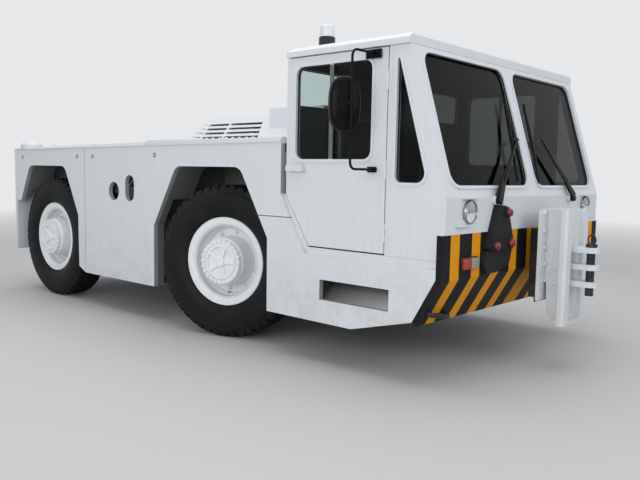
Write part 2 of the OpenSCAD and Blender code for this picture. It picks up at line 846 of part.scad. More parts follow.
// Quarter window corners. Columns: x, z, radius
quarter = [[front_x - 376, 1284, 40], [front_x - 134, 1284, 60], [front_x - 360, 2050, 8],
    [front_x - 376, 2050, 8]];

module cab_front_frame() {
    y = cab_half_w - cab_wall_t;
    pillar_x = front_x - door_front + 8;
    color("white") {
            difference() {
                in_screen()
                    translate([0, 0, -cab_wall_t])
                        linear_extrude(cab_wall_t)
                            difference() {
                                translate([-y - 1, 0])
                                    square([2 * y + 2, screen_len]);
                                for (side = [-1, 1])
                                    scale([side, 1])
                                        polygon(rounded(pane_corners(screen_pane, screen_pane_r)));
                            }
                block([front_x - 2 * screen_rake, -2000, gutter_z - 0.3], [front_x + 50, 2000, gutter_z + 100]);
                block([front_x - 2 * screen_rake, -2000, fold_z - 100], [front_x + 50, 2000, fold_z]);
            }
        for (side = [-1, 1]) on_side(side)
            difference() {
                side_plate([[pillar_x, floor_z + 16], [front_x - plate_t - fit_gap, floor_z + 16],
                    [front_x - plate_t - fit_gap, fold_z + fit_gap], [front_x, fold_z + fit_gap],
                    [screen_x(gutter_z), gutter_z], [pillar_x, gutter_z]], y, cab_wall_t);
                side_plate(rounded(quarter), y - 10, cab_wall_t + 20);
            }
        for (side = [-1, 1]) on_side(side) {
            for (z = hinge_heights)
                frame_hinge(z);
            side_ring(quarter, cab_half_w);
        }
        in_screen()
            for (side = [-1, 1])
                scale([side, 1, 1])
                    translate([0, 0, -1])
                        linear_extrude(ring_t + 1)
                            difference() {
                                polygon(rounded(grown(pane_corners(screen_pane, screen_pane_r), ring_w)));
                                polygon(rounded(pane_corners(screen_pane, screen_pane_r)));
                            }
    }
}

door_win = [front_x - 1240, 1427, front_x - 572, 2062];
door_win_r = 60;
hinge_y = cab_half_w + 8;
hinge_x = front_x - door_front + 4;
hinge_r = 8;
hinge_pin_r = 4;
hinge_h = 40;
hinge_heights = [940, 1340, 1900];

// One side of a door hinge: knuckles of radius hinge_r on the axis with a leaf lying along reach
module hinge_half(low, high, reach) {
    translate([hinge_x, hinge_y, low])
        cylinder(h = high - low, r = hinge_r);
    block([min(hinge_x, hinge_x + reach), cab_half_w - 1, low],
        [max(hinge_x, hinge_x + reach), cab_half_w + 3, high]);
}

// The door's knuckle turns on the pin that stands in the frame's two knuckles
module frame_hinge(z) {
    hinge_half(z - hinge_h, z - fit_gap, 30);
    hinge_half(z + hinge_h + fit_gap, z + 2 * hinge_h, 30);
    translate([hinge_x, hinge_y, z - hinge_h])
        cylinder(h = 3 * hinge_h, r = hinge_pin_r);
}

module door_hinge(z) {
    difference() {
        hinge_half(z, z + hinge_h, -30);
        translate([hinge_x, hinge_y, z - 1])
            cylinder(h = hinge_h + 2, r = hinge_pin_r + pin_gap);
    }
}

door_bar_x = front_x - 938;

module door(side) {
    x1 = front_x - door_front;
    x0 = cab_rear_x + 25;
    color("white") on_side(side) {
        difference() {
            side_plate([[x1, floor_z + 25], [x1, gutter_z - 6], [x0, gutter_z - 6], [x0, 1176],
                [front_x - 1104, floor_z + 25]], cab_half_w - cab_wall_t, cab_wall_t);
            side_plate(rounded(pane_corners(door_win, door_win_r)), cab_half_w - 2 * cab_wall_t, 3 * cab_wall_t);
        }
        side_ring(pane_corners(door_win, door_win_r), cab_half_w);
        // bar between the sliding panes
        side_plate(pane(door_bar_x, door_win[1] - 5, door_bar_x + 32, door_win[3] + 5, 1),
            cab_half_w - 12, 10);
        // pull handle
        difference() {
            side_plate(pane(front_x - 1300, 1342, front_x - 1140, 1385, 8), cab_half_w - 1, 45);
            side_plate(pane(front_x - 1282, 1300, front_x - 1158, 1430, 1), cab_half_w - 2, 30);
        }
        for (z = hinge_heights)
            door_hinge(z);
    }
}

module door_glass(side) {
    color([0.2, 0.25, 0.25, 0.6]) on_side(side)
        side_plate(rounded(grown(pane_corners(door_win, door_win_r), -glass_gap)),
            cab_half_w - cab_wall_t / 2 - glass_t / 2, glass_t);
}

module cab_glass() {
    color([0.2, 0.25, 0.25, 0.6]) {
        for (side = [-1, 1]) {
            in_screen()
                translate([0, 0, -cab_wall_t / 2 - glass_t / 2])
                    linear_extrude(glass_t)
                        scale([side, 1])
                            polygon(rounded(grown(pane_corners(screen_pane, screen_pane_r), -glass_gap)));
            on_side(side) {
                side_plate(rounded(grown(quarter, -glass_gap)),
                    cab_half_w - cab_wall_t / 2 - glass_t / 2, glass_t);
                profile_bar(pane(cab_half_w - rear_window[0] + glass_gap, rear_window[1] + glass_gap,
                    cab_half_w - rear_window[2] - glass_gap, rear_window[3] - glass_gap, 50),
                    cab_rear_x + cab_wall_t / 2 - glass_t / 2, glass_t);
            }
        }
    }
}

mirror_x = front_x - 540;
mirror_reach = 250;
mirror_top_z = 2090;
mirror_low_z = 1362;
mirror_head_z = 1764;
// Mirror head: half width and height, its place from the upright, and the clamp that joins the two
mirror_head = [94, 165];
mirror_head_in = [-55, -18];
mirror_clamp = [[-40, -14, -20], [10, 10, 20]];
mirror_bow_r = 500;
tube_r = 8;
tube_bend = 45;

// Tube loop on the door with the mirror head clamped to its upright
module mirror_arm(side) {
    y0 = cab_half_w + ring_t + fit_gap;
    y1 = cab_half_w + mirror_reach;
    color("#202022") on_side(side) {
        translate([mirror_x, y1, mirror_low_z + tube_bend])
            cylinder(h = mirror_top_z - mirror_low_z - 2 * tube_bend, r = tube_r);
        // ends of the loop. Columns: height, up or down, bracket from, bracket to, its half height
        for (end = [[mirror_top_z, 1, -78, 42, 28], [mirror_low_z, -1, -45, 22, 18]]) {
            translate([mirror_x, y0, end[0]])
                rotate([-90, 0, 0])
                    cylinder(h = y1 - tube_bend - y0, r = tube_r);
            translate([mirror_x, y1 - tube_bend, end[0] - end[1] * tube_bend])
                rotate([0, 90, 0])
                    rotate(end[1] > 0 ? 90 : 0)
                        rotate_extrude(angle = 90)
                            translate([tube_bend, 0])
                                circle(tube_r);
            side_plate(pane(mirror_x + end[2], end[0] - end[4], mirror_x + end[3], end[0] + end[4], 10),
                y0, 14);
            block([mirror_x, cab_half_w + fit_gap, end[0] - 10], [mirror_x + 20, y0 + 1, end[0] + 10]);
        }
        // head: a deep rounded shell with its bowed back forward
        head_clamp_at = [mirror_x, y1, mirror_head_z];
        block(head_clamp_at + mirror_clamp[0], head_clamp_at + mirror_clamp[1]);
        translate([mirror_x + mirror_head_in.x, y1 + mirror_head_in.y, mirror_head_z])
            rotate([0, 0, 35])
                intersection() {
                    rotate([90, 0, 90])
                        translate([0, 0, -40])
                            linear_extrude(80)
                                polygon(pane(-mirror_head.x, -mirror_head.y, mirror_head.x, mirror_head.y, 75));
                    translate([-mirror_bow_r + 40, 0, 0])
                        rotate([90, 0, 0])
                            cylinder(h = 400, r = mirror_bow_r, center = true, $fn = 96);
                    translate([-220, 0, 0])
                        cylinder(h = 500, r = 260, center = true, $fn = 96);
                }
    }
}

head_lamp_y = cab_half_w - 268;
head_lamp_z = fold_z - 90;
head_lamp_r = 75;
brow_half_w = 85;
// Signal lamp on the bumper: inner edge, outer edge and the joint between its lenses; low and high
signal_y = [805, 1005, 905];
signal_z = [748, 827];

// Head lamps with their rim rings and lower brackets, and the signal lamps on the bumper
module front_lamps() {
    signal_base_t = 12;
    signal_t = 30;
    bracket_z = head_lamp_z - 88;
    color("silver")
        for (side = [-1, 1]) on_side(side) {
            translate([front_x, head_lamp_y, head_lamp_z])
                rotate([0, 90, 0]) {
                    // rim ring round the lens
                    rotate_extrude($fn = 64)
                        polygon([[head_lamp_r - 22, 0], [head_lamp_r, 0], [head_lamp_r, 14], [head_lamp_r - 4, 22],
                            [head_lamp_r - 9, 24], [head_lamp_r - 12, 18], [head_lamp_r - 22, 14]]);
                    domed_cap(head_lamp_r - 11, 10, 12);
                }
            block([front_x, head_lamp_y + 20, bracket_z], [front_x + 28, head_lamp_y + 150, bracket_z + 12]);
            block([front_x, head_lamp_y + 20, bracket_z], [front_x + 6, head_lamp_y + 70, bracket_z + 38]);
            // signal lamp: base and its two lenses
            side_lens([signal_y[0], signal_z[0]], [signal_y[1], signal_z[1]], signal_base_t);
            side_lens([signal_y[0] + 6, signal_z[0] + 6], [signal_y[2] - 1, signal_z[1] - 6], signal_t);
            side_lens([signal_y[2] + 1, signal_z[0] + 6], [signal_y[1] - 6, signal_z[1] - 6], signal_t);
        }
}

// Flat lamp on the front face between two corners in Y and Z
module side_lens(low, high, depth) {
    profile_bar(pane(low.x, low.y, high.x, high.y, 5), front_x, depth);
}

// Tall lamp housing on the nose. Columns: y, z, corner radius
pod = [[-728, 838, 45], [-360, 838, 45], [-470, 1104, 55], [-500, 1148, 20], [-602, 1148, 20]];
pod_depth = 50;
// Its three red lamps: y and z
pod_lamps = [[-505, 1098], [-655, 884], [-452, 892]];
pod_lamp_r = 29;
// Bracket below it with a rounded foot
pod_foot = [[-722, 705, 20], [-590, 705, 20], [-410, 757, 20], [-385, 850, 0], [-722, 850, 0], [-765, 790, 15]];

module lamp_pod() {
    color("#202022") {
        profile_bar(rounded(pod), front_x, pod_depth);
        for (p = pod_lamps)
            translate([front_x + pod_depth - 1, p[0], p[1]])
                rotate([0, 90, 0]) {
                    cylinder(h = 9, r = pod_lamp_r + 5);
                    domed_cap(pod_lamp_r, 20, 20);
                }
        profile_bar(rounded(pod_foot), front_x, pod_depth - 15);
    }
}

// Beacon on the roof: place behind the front face and across, then foot, base and ribbed dome
beacon_at = [1185, -945];
beacon_foot = [30, 66];
beacon_base = [100, 59];

module beacon() {
    dome_r = 53;
    ribs = 7;
    rib_h = 11;
    color("#202022") translate([front_x - beacon_at.x, beacon_at.y, roof_z]) {
        cylinder(h = beacon_foot[0], r = beacon_foot[1]);
        cylinder(h = beacon_base[0], r = beacon_base[1]);
        translate([0, 0, beacon_base[0] - 1])
            rotate_extrude()
                polygon(concat([[0, 0]],
                    [for (i = [0:ribs - 1])
                        each [[dome_r, i * rib_h], [dome_r, (i + 0.6) * rib_h], [dome_r - 3, (i + 0.8) * rib_h]]],
                    [[dome_r - 8, ribs * rib_h + 8], [0, ribs * rib_h + 13]]));
    }
}

// Wiper arms and blades. Columns: pivot y, arm's end across and up the screen, blade's top and foot across and up
wiper_table = [
    [-600, [-153, 401], [-172, 694], [-255, 101]],
    [600, [258, 427], [126, 687], [81, 93]]
];
wiper_pivot = [40, -20];
wiper_lift = 20;

// Square rod between two points of the windscreen's plane, standing off it by lift
module screen_rod(a, b, width, lift, depth) {
    d = b - a;
    translate([a.x, a.y, lift])
        rotate([0, 0, atan2(d.y, d.x)])
            translate([-width / 2, -width / 2, 0])
                cube([norm(d) + width, width, depth]);
}

module wipers() {
    color("#202022") {
        for (w = wiper_table) {
            foot = [w[0], wiper_pivot[1]];
            lift = w[0] < 0 ? -1 : 1;
            translate([front_x, w[0], fold_z + wiper_pivot[1]])
                rotate([0, 90, 0]) {
                    cylinder(h = 28, r = 30);
                    cylinder(h = 52, r = 19);
                }
            in_screen() {
                // the arm's two rods, its head and the blade
                screen_rod(foot, w[1], 16, wiper_lift + 12, 12);
                screen_rod(foot + [40 * lift, 20], w[1] + [10 * lift, -14], 10, wiper_lift + 12, 10);
                screen_rod(foot - [0, 10], foot + (w[1] - foot) * 0.22 + [16 * lift, 0], 44, wiper_lift + 6, 20);
                screen_rod(w[1] + [20, 0], (w[2] + w[3]) / 2, 14, wiper_lift, 22);
                screen_rod(w[2], w[3], 9, 12, wiper_lift - 2);
                screen_rod(w[2] * 0.75 + w[3] * 0.25, w[2] * 0.25 + w[3] * 0.75, 12, wiper_lift + 6, 9);
            }
        }
    }
}

// Hitch along X from the front face: mounting flange, cheeks, the front guide bar and its face
hitch_flange = [138, 160];
hitch_bar_back = 286;
hitch_face = 332;
hitch_flange_half_w = 215;
hitch_bar_half_w = 190;
hitch_low_z = 323;
hitch_top_z = 1118;
hitch_cheek_low_z = 353;
hitch_mid_z = 727;
// Shallow recess in the bar's face: half width and depth
hitch_recess = [105, 32];
// Tip of the plates to the pin's centre, and the height range of the neck behind the flange
hitch_pin_in = 57;
hitch_neck = [472, 968];
hitch_neck_half = 30;
hitch_end_half = 200;
hitch_end_t = 16;
hitch_pin_x = front_x + hitch_reach - hitch_pin_in;
hitch_span = hitch_pitch * (hitch_plates - 1) + hitch_plate_t;

module tow_hitch() {
    flange_x = front_x + hitch_flange[0];
    cheek_x = front_x + hitch_flange[1];
    bar_x = front_x + hitch_bar_back;
    face_x = front_x + hitch_face;
    color("white") {
        // neck plate and its end plate, then the mounting flange
        block([front_x, -hitch_neck_half, hitch_neck[0]], [flange_x - 1, hitch_neck_half, hitch_neck[1]]);
        block([flange_x - hitch_end_t, -hitch_end_half, hitch_neck[0]], [flange_x + 1, hitch_end_half, hitch_neck[1]]);
        block([flange_x, -hitch_flange_half_w, hitch_neck[0] + 14], [cheek_x, hitch_flange_half_w, hitch_top_z - 3]);
        // cheeks that flare from the flange to the guide bar, with rounded lower corners
        intersection() {
            linear_height(hitch_cheek_low_z - 1, hitch_top_z)
                polygon([[cheek_x - 1, -125], [bar_x + 1, -176], [bar_x + 1, 176], [cheek_x - 1, 125]]);
            side_plate(rounded([[cheek_x - 1, 640, 0], [cheek_x + 16, 600, 0], [cheek_x + 30, hitch_cheek_low_z, 75],
                [bar_x + 1, hitch_cheek_low_z, 0], [bar_x + 1, hitch_top_z, 0], [cheek_x - 1, hitch_top_z, 0]]),
                -body_w / 2, body_w);
        }
        // guide bar with its shallow recess
        difference() {
            linear_height(hitch_low_z, hitch_top_z)
                polygon(rounded([[bar_x, -hitch_bar_half_w, 0], [face_x, -hitch_bar_half_w, 22],
                    [face_x, hitch_bar_half_w, 22], [bar_x, hitch_bar_half_w, 0]]));
            block([face_x - hitch_recess[1], -hitch_recess[0], hitch_low_z + 28],
                [face_x + 1, hitch_recess[0], hitch_top_z + 1]);
        }
        for (i = [0:hitch_plates - 1])
            difference() {
                z = hitch_mid_z + (i - (hitch_plates - 1) / 2) * hitch_pitch - hitch_plate_t / 2;
                union() {
                    translate([hitch_pin_x, 0, z])
                        cylinder(h = hitch_plate_t, r = hitch_pin_in);
                    block([face_x - hitch_recess[1] - 1, -hitch_pin_in, z],
                        [hitch_pin_x, hitch_pin_in, z + hitch_plate_t]);
                }
                translate([hitch_pin_x, 0, z - 5])
                    cylinder(h = hitch_plate_t + 10, r = tow_pin_d / 2 + fit_gap);
            }
    }
}

// Extrudes a plan outline between two heights
module linear_height(z0, z1) {
    translate([0, 0, z0])
        linear_extrude(z1 - z0)
            children();
}

module tow_pin() {
    plate_top = hitch_mid_z + hitch_span / 2;
    plate_low = hitch_mid_z - hitch_span / 2;
    pin_below = 60;
    pin_above = 20;
    collar = [22, 10];
    ring = [33, 5];
    color("#202022") translate([hitch_pin_x, 0, 0]) {
        translate([0, 0, plate_low - pin_below])
            cylinder(h = pin_below + hitch_span + pin_above, r = tow_pin_d / 2);
        translate([0, 0, plate_top + fit_gap])
            cylinder(h = collar[0], r = tow_pin_d / 2 + collar[1]);
        // ring to lift it by
        translate([0, 0, plate_top + pin_above + ring[0] - 1])
            rotate([90, 0, -20])
                rotate_extrude($fn = 48)
                    translate([ring[0], 0])
                        circle(r = ring[1], $fn = 16);
    }
}

seat_y = 560;
// Steering wheel: its middle, its tilt, and its rim's radius and tube
steer_at = [front_x - 480, -seat_y, 1290];
steer_tilt = 35;
steer_rim = [215, 16];
// Room between a cushion's front end and the steering wheel
knee_gap = 47;
seat_x = cab_rear_x + cab_wall_t + 60;
seat_end = steer_at.x - steer_rim[0] * cos(steer_tilt) - steer_rim[1] - knee_gap - seat_x;
// Seat from the back of its cushion forward. Columns: x, z, x, z, corner radius, half width
seat_cushion = [20, 1060, seat_end, 1180, 45, 250];
seat_back = [0, 1120, 120, 1750, 55, 240];
// Box under the cushion: its back, how far its front stays behind the cushion's, and its half width
seat_box = [80, 60, 200];

module seats() {
    color("#303034")
        for (side = [-1, 1])
            translate([seat_x, side * seat_y, 0]) {
                block([seat_box[0], -seat_box[2], floor_z],
                    [seat_end - seat_box[1], seat_box[2], seat_cushion[1]]);
                for (c = [seat_cushion, seat_back])
                    side_plate(pane(c[0], c[1], c[2], c[3], c[4]), -c[5], 2 * c[5]);
            }
}

// Dashboard behind the front: depth and height of its top and of its lip, and the depth of its foot
dash_top = [300, 1180];
dash_lip = [330, 1120];
dash_foot = 200;

// Dashboard outline across the cab, grown by gap
module dash_form(gap) {
    y = cab_half_w - cab_wall_t - 10;
    side_plate([[front_x - plate_t - fit_gap, floor_z + fit_gap], [front_x - plate_t - fit_gap, dash_top[1] + gap],
        [front_x - dash_top[0] - gap, dash_top[1] + gap], [front_x - dash_lip[0] - gap, dash_lip[1]],
        [front_x - dash_foot - gap, floor_z + fit_gap]],
        -y, 2 * y);
}

// Steering wheel with its three spokes and the column that meets the dashboard
module steering_wheel() {
    spoke_w = 30;
    column_len = 320;
    column_r = 28;
    color("#202022") {
        translate(steer_at)
            rotate([0, -steer_tilt, 0]) {
                rotate_extrude()
                    translate([steer_rim[0], 0])
                        circle(r = steer_rim[1], $fn = 24);
                for (a = [0, 120, 240])
                    rotate([0, 0, a])
                        translate([0, -spoke_w / 2, -8])
                            cube([steer_rim[0], spoke_w, 12]);
                cylinder(h = 40, r = 45, center = true);
            }
        difference() {
            translate(steer_at)
                rotate([0, -steer_tilt, 0])
                    translate([0, 0, -column_len])
                        cylinder(h = column_len, r = column_r);
            dash_form(fit_gap);
        }
    }
}

module dashboard() {
    color("#3a3a3e")
        dash_form(0);
}

chassis_frame();
front_axle();
rear_axle();
knuckle(-1);  // knuckle_right
knuckle(1);  // knuckle_left
tyre(-1, true);  // tyre_front_right
tyre(1, true);  // tyre_front_left
tyre(-1, false);  // tyre_rear_right
tyre(1, false);  // tyre_rear_left
wheel(-1, true);  // wheel_front_right
wheel(1, true);  // wheel_front_left
wheel(-1, false);  // wheel_rear_right
wheel(1, false);  // wheel_rear_left
power_unit();
rear_plate();
side_rear(-1);  // side_rear_right
side_rear(1);  // side_rear_left
side_mid(-1);  // side_mid_right
side_mid(1);  // side_mid_left
cab_skirt(-1);  // cab_skirt_right
cab_skirt(1);  // cab_skirt_left
deck_rear();
deck_front();
engine_cover();
cab_floor();
cab_nose();
cab_rear_wall();
cab_roof();
cab_front_frame();
door(-1);  // door_right
door(1);  // door_left
door_glass(-1);  // door_glass_right
door_glass(1);  // door_glass_left
cab_glass();
mirror_arm(-1);  // mirror_right
mirror_arm(1);  // mirror_left
front_lamps();
lamp_pod();
beacon();
wipers();
tow_hitch();
tow_pin();
seats();
steering_wheel();
dashboard();
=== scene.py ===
import json
import math

import bmesh
import bpy
from mathutils import Matrix, Vector


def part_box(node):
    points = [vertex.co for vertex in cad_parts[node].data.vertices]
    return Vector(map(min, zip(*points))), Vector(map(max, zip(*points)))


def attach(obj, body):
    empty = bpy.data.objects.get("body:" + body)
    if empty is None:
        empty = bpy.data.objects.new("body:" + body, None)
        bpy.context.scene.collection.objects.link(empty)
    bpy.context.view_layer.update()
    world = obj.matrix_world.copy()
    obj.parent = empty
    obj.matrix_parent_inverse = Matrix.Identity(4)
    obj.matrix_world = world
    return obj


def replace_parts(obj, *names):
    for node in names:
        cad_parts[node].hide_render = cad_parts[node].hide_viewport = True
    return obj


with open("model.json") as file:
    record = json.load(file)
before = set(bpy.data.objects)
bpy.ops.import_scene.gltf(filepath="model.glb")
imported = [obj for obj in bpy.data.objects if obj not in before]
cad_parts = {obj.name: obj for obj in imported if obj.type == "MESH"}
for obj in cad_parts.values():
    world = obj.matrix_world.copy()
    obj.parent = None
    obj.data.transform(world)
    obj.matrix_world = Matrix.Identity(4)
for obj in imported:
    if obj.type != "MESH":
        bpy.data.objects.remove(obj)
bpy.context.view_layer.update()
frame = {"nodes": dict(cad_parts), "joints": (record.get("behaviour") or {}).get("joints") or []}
joints = {joint["name"]: joint for joint in frame["joints"]}


# Frame, axles and engine
# Tall rail plates, bulkheads, cast axles and the engine, all brushed with thin black chassis paint that has
# dulled and taken road dust.
CHASSIS_BLACK = (0.028, 0.028, 0.03, 1)
CHASSIS_DUST = (0.085, 0.080, 0.072, 1)
GRIME = (0.30, 0.27, 0.23, 1)
DRY_DUST = (0.22, 0.22, 0.21, 1)
DUST_FROM_Z = (0.95, 1.20)
DUST_FROM_Y = (0.25, 0.40)


def add_node(tree, kind, **settings):
    node = tree.nodes.new(kind)
    node.location.x = 200 * len(tree.nodes)
    for name, value in settings.items():
        setattr(node, name, value)
    return node


def link(tree, source, target):
    tree.links.new(source, target)


def set_inputs(node, **values):
    for name, value in values.items():
        node.inputs[name.replace("_", " ")].default_value = value


def feed(tree, value, socket):
    """Sets a socket to a number or colour, or links an output to it."""
    if isinstance(value, (int, float, tuple)):
        socket.default_value = value
    else:
        link(tree, value, socket)


def math_node(tree, operation, *values, clamp=False):
    node = add_node(tree, "ShaderNodeMath", operation=operation, use_clamp=clamp)
    for value, socket in zip(values, node.inputs):
        feed(tree, value, socket)
    return node.outputs[0]


def chain(tree, operation, mask, *others):
    for other in others:
        mask = math_node(tree, operation, mask, other)
    return mask


def both(tree, *masks):
    """1 where every mask is 1."""
    return chain(tree, "MULTIPLY", *masks)


def band(tree, value, low, high):
    """0 below low, 1 above high, linear between."""
    node = add_node(tree, "ShaderNodeMapRange", clamp=True)
    set_inputs(node, From_Min=low, From_Max=high, To_Min=0.0, To_Max=1.0)
    link(tree, value, node.inputs["Value"])
    return node.outputs["Result"]


def mix_colors(tree, factor, a, b):
    node = add_node(tree, "ShaderNodeMix", data_type="RGBA")
    for value, index in ((factor, 0), (a, 6), (b, 7)):
        feed(tree, value, node.inputs[index])
    return node.outputs[2]


def cover(tree, tones, mask, color):
    """Each tone with a colour laid over it where the mask is 1."""
    return [mix_colors(tree, mask, tone, color) for tone in tones]


def noise(tree, vector, scale, detail=3.0, roughness=0.5, stretch=None):
    if stretch:
        mapping = add_node(tree, "ShaderNodeMapping")
        mapping.inputs["Scale"].default_value = stretch
        link(tree, vector, mapping.inputs["Vector"])
        vector = mapping.outputs["Vector"]
    node = add_node(tree, "ShaderNodeTexNoise")
    set_inputs(node, Scale=scale, Detail=detail, Roughness=roughness)
    link(tree, vector, node.inputs["Vector"])
    return node.outputs["Fac"]


def split_position(tree, place):
    parts = add_node(tree, "ShaderNodeSeparateXYZ")
    link(tree, place, parts.inputs[0])
    return parts.outputs["X"], parts.outputs["Y"], parts.outputs["Z"]


def half_position(tree, place):
    """X, the distance from the middle plane and Z, for a pattern that is the same on both sides."""
    x, y, z = split_position(tree, place)
    return x, math_node(tree, "ABSOLUTE", y), z


def make_weathering():
    """Sprayed paint outdoors: cloudy shade, streaks down the upright faces, grime low down, orange peel."""
    group = bpy.data.node_groups.new("weathered_paint", "ShaderNodeTree")
    for way, kind, names in (
            ("INPUT", "Vector", ("Position",)), ("INPUT", "Color", ("Paint", "Shade", "Grime")),
            ("INPUT", "Float", ("Streaks", "Grime Amount", "Grime Height", "Roughness", "Peel")),
            ("OUTPUT", "Color", ("Color",)), ("OUTPUT", "Float", ("Roughness", "Height"))):
        for name in names:
            group.interface.new_socket(name=name, in_out=way, socket_type=f"NodeSocket{kind}")
    given = add_node(group, "NodeGroupInput").outputs
    result = add_node(group, "NodeGroupOutput").inputs
    place = given["Position"]

    clouds = noise(group, place, 1.7, 4, 0.55)
    streaks = band(group, noise(group, place, 6.0, 5, 0.6, stretch=(5, 5, 0.35)), 0.48, 0.75)
    streaks = math_node(group, "MULTIPLY", streaks, given["Streaks"])
    shade = math_node(group, "ADD", streaks, math_node(group, "MULTIPLY", clouds, 0.22), clamp=True)
    color = mix_colors(group, shade, given["Paint"], given["Shade"])

    height = split_position(group, place)[2]
    low = band(group, math_node(group, "SUBTRACT", given["Grime Height"], height), 0.0, 0.8)
    specks = band(group, noise(group, place, 38, 6, 0.7), 0.52, 0.72)
    blots = band(group, noise(group, place, 5, 5, 0.65), 0.4, 0.7)
    dirt = math_node(group, "MULTIPLY", math_node(group, "ADD", specks, blots), low)
    dirt = math_node(group, "MULTIPLY", dirt, given["Grime Amount"], clamp=True)
    link(group, mix_colors(group, dirt, color, given["Grime"]), result["Color"])

    rough = math_node(group, "ADD", given["Roughness"], math_node(group, "MULTIPLY", clouds, 0.12))
    rough = math_node(group, "ADD", rough, math_node(group, "MULTIPLY", dirt, 0.25), clamp=True)
    link(group, rough, result["Roughness"])

    peel = math_node(group, "MULTIPLY", noise(group, place, 240, 2, 0.5), 0.25)
    relief = math_node(group, "ADD", peel, noise(group, place, 9, 3, 0.5, stretch=(1, 1, 0.5)))
    link(group, math_node(group, "MULTIPLY", relief, given["Peel"]), result["Height"])
    return group


weathering = make_weathering()


def new_material(name):
    material = bpy.data.materials.new(name)
    material.use_nodes = True
    tree = material.node_tree
    return material, tree, tree.nodes["Principled BSDF"]


def object_place(tree):
    return add_node(tree, "ShaderNodeTexCoord").outputs["Object"]


def add_relief(tree, surface, height, strength, distance):
    bump = add_node(tree, "ShaderNodeBump")
    set_inputs(bump, Strength=strength, Distance=distance)
    link(tree, height, bump.inputs["Height"])
    link(tree, bump.outputs["Normal"], surface.inputs["Normal"])


def painted(name, paint, shade, streaks=0.35, grime=0.4, grime_height=0.9, roughness=0.42, peel=0.5,
            pattern=None, specular=0.5):
    """A brushed or sprayed paint; pattern(tree, place, tones) may return other colours by place."""
    material, tree, surface = new_material(name)
    place = object_place(tree)
    group = add_node(tree, "ShaderNodeGroup", node_tree=weathering)
    set_inputs(group, Paint=paint, Shade=shade, Grime=GRIME, Streaks=streaks, Grime_Amount=grime,
               Grime_Height=grime_height, Roughness=roughness, Peel=peel)
    link(tree, place, group.inputs["Position"])
    if pattern:
        for socket, tone in zip(("Paint", "Shade"), pattern(tree, place, (paint, shade))):
            link(tree, tone, group.inputs[socket])
    link(tree, group.outputs["Color"], surface.inputs["Base Color"])
    link(tree, group.outputs["Roughness"], surface.inputs["Roughness"])
    add_relief(tree, surface, group.outputs["Height"], 0.25, 0.002)
    set_inputs(surface, Specular_IOR_Level=specular)
    return material


def finish_nodes(material, *names):
    """Gives CAD nodes their material."""
    for name in names:
        mesh = frame["nodes"][name].data
        mesh.materials.clear()
        mesh.materials.append(material)


def chassis_colors(tree, place, tones):
    """Road dust thrown up over the tyres."""
    _, away, z = half_position(tree, place)
    dust_and_shade = both(tree, band(tree, z, *DUST_FROM_Z), band(tree, away, *DUST_FROM_Y))
    return cover(tree, tones, dust_and_shade, DRY_DUST)


chassis_paint = painted("chassis_paint", CHASSIS_BLACK, CHASSIS_DUST, streaks=0.5, grime=0.6,
                        grime_height=1.2, roughness=0.6, peel=0.9, pattern=chassis_colors, specular=0.3)
finish_nodes(chassis_paint, "chassis_frame", "front_axle", "rear_axle", "knuckle_right", "knuckle_left")
engine_paint = painted("engine_paint", (0.10, 0.11, 0.115, 1), (0.05, 0.05, 0.05, 1), streaks=0.6, grime=0.6,
                       grime_height=1.6, roughness=0.55, peel=0.8)
finish_nodes(engine_paint, "power_unit")


# Wheels
# Deep dished steel wheels with hub reduction drums under thick white enamel that holds a little dirt, with
# wheel nuts on the disc, a ring of cap screws round the drum's cover, and five ribs and a boss on it.
WHEEL_NUTS = 10
NUT_CIRCLE = 0.236
NUT_SEAT = -0.016
NUT_END = (0.02, 0.036, 0.010, 0.010)
COVER_SCREWS = 24
COVER_SCREW = ((-0.001, 0.009, 0.0135, 0.0125), (0.009, 0.012, 0.0125, 0.008))
SCREW_CIRCLE = 0.166
COVER_FACE = 0.179
COVER_RIBS = 5
COVER_RIB = ((0.020, -0.015, -0.010), (0.124, 0.015, 0.006))
COVER_RIM = ((0.118, -0.009), (0.1185, 0.006), (0.121, 0.009), (0.134, 0.009), (0.138, 0.006),
             (0.141, -0.002), (0.1475, -0.004), (0.1485, -0.009))
COVER_BOSS = ((0.0, 0.010), (0.022, 0.010), (0.026, 0.015), (0.034, 0.014), (0.040, 0.006), (0.044, -0.009),
              (0.0, -0.009))


def piece_from(bm, name, material, body="root", smooth=math.radians(32)):
    """Turns a bmesh into a named piece with the given material, which rides on a body."""
    mesh = bpy.data.meshes.new(name)
    bm.to_mesh(mesh)
    bm.free()
    mesh.materials.append(material)
    mesh.polygons.foreach_set("use_smooth", [True] * len(mesh.polygons))
    mesh.set_sharp_from_angle(angle=smooth)
    piece = bpy.data.objects.new(name, mesh)
    bpy.context.scene.collection.objects.link(piece)
    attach(piece, body)
    return piece


def facing(at, outward):
    """Matrix that puts a shape made round Z at a place, its top turned outward."""
    return Matrix.Translation(at) @ Vector(outward).to_track_quat("Z", "Y").to_matrix().to_4x4()


def add_stubs(bm, place, *stubs, sides=24):
    """Round or hexagonal stubs of (low, high, radius, radius at the top) on the axis of a place."""
    for low, high, radius, top in stubs:
        middle = place @ Matrix.Translation((0, 0, (low + high) / 2))
        bmesh.ops.create_cone(bm, cap_ends=True, segments=sides, radius1=radius, radius2=top,
                              depth=high - low, matrix=middle)


def add_bolt(bm, place, radius, height, washer=None):
    """Hexagon head with a chamfered top, on a washer where one is given."""
    base = 0.0
    if washer:
        add_stubs(bm, place, (-0.001, 0.003, washer, washer))
        base = 0.003
    chamfer = base + height * 0.75
    add_stubs(bm, place, (base - 0.001, chamfer, radius, radius),
              (chamfer, base + height, radius, radius * 0.8), sides=6)


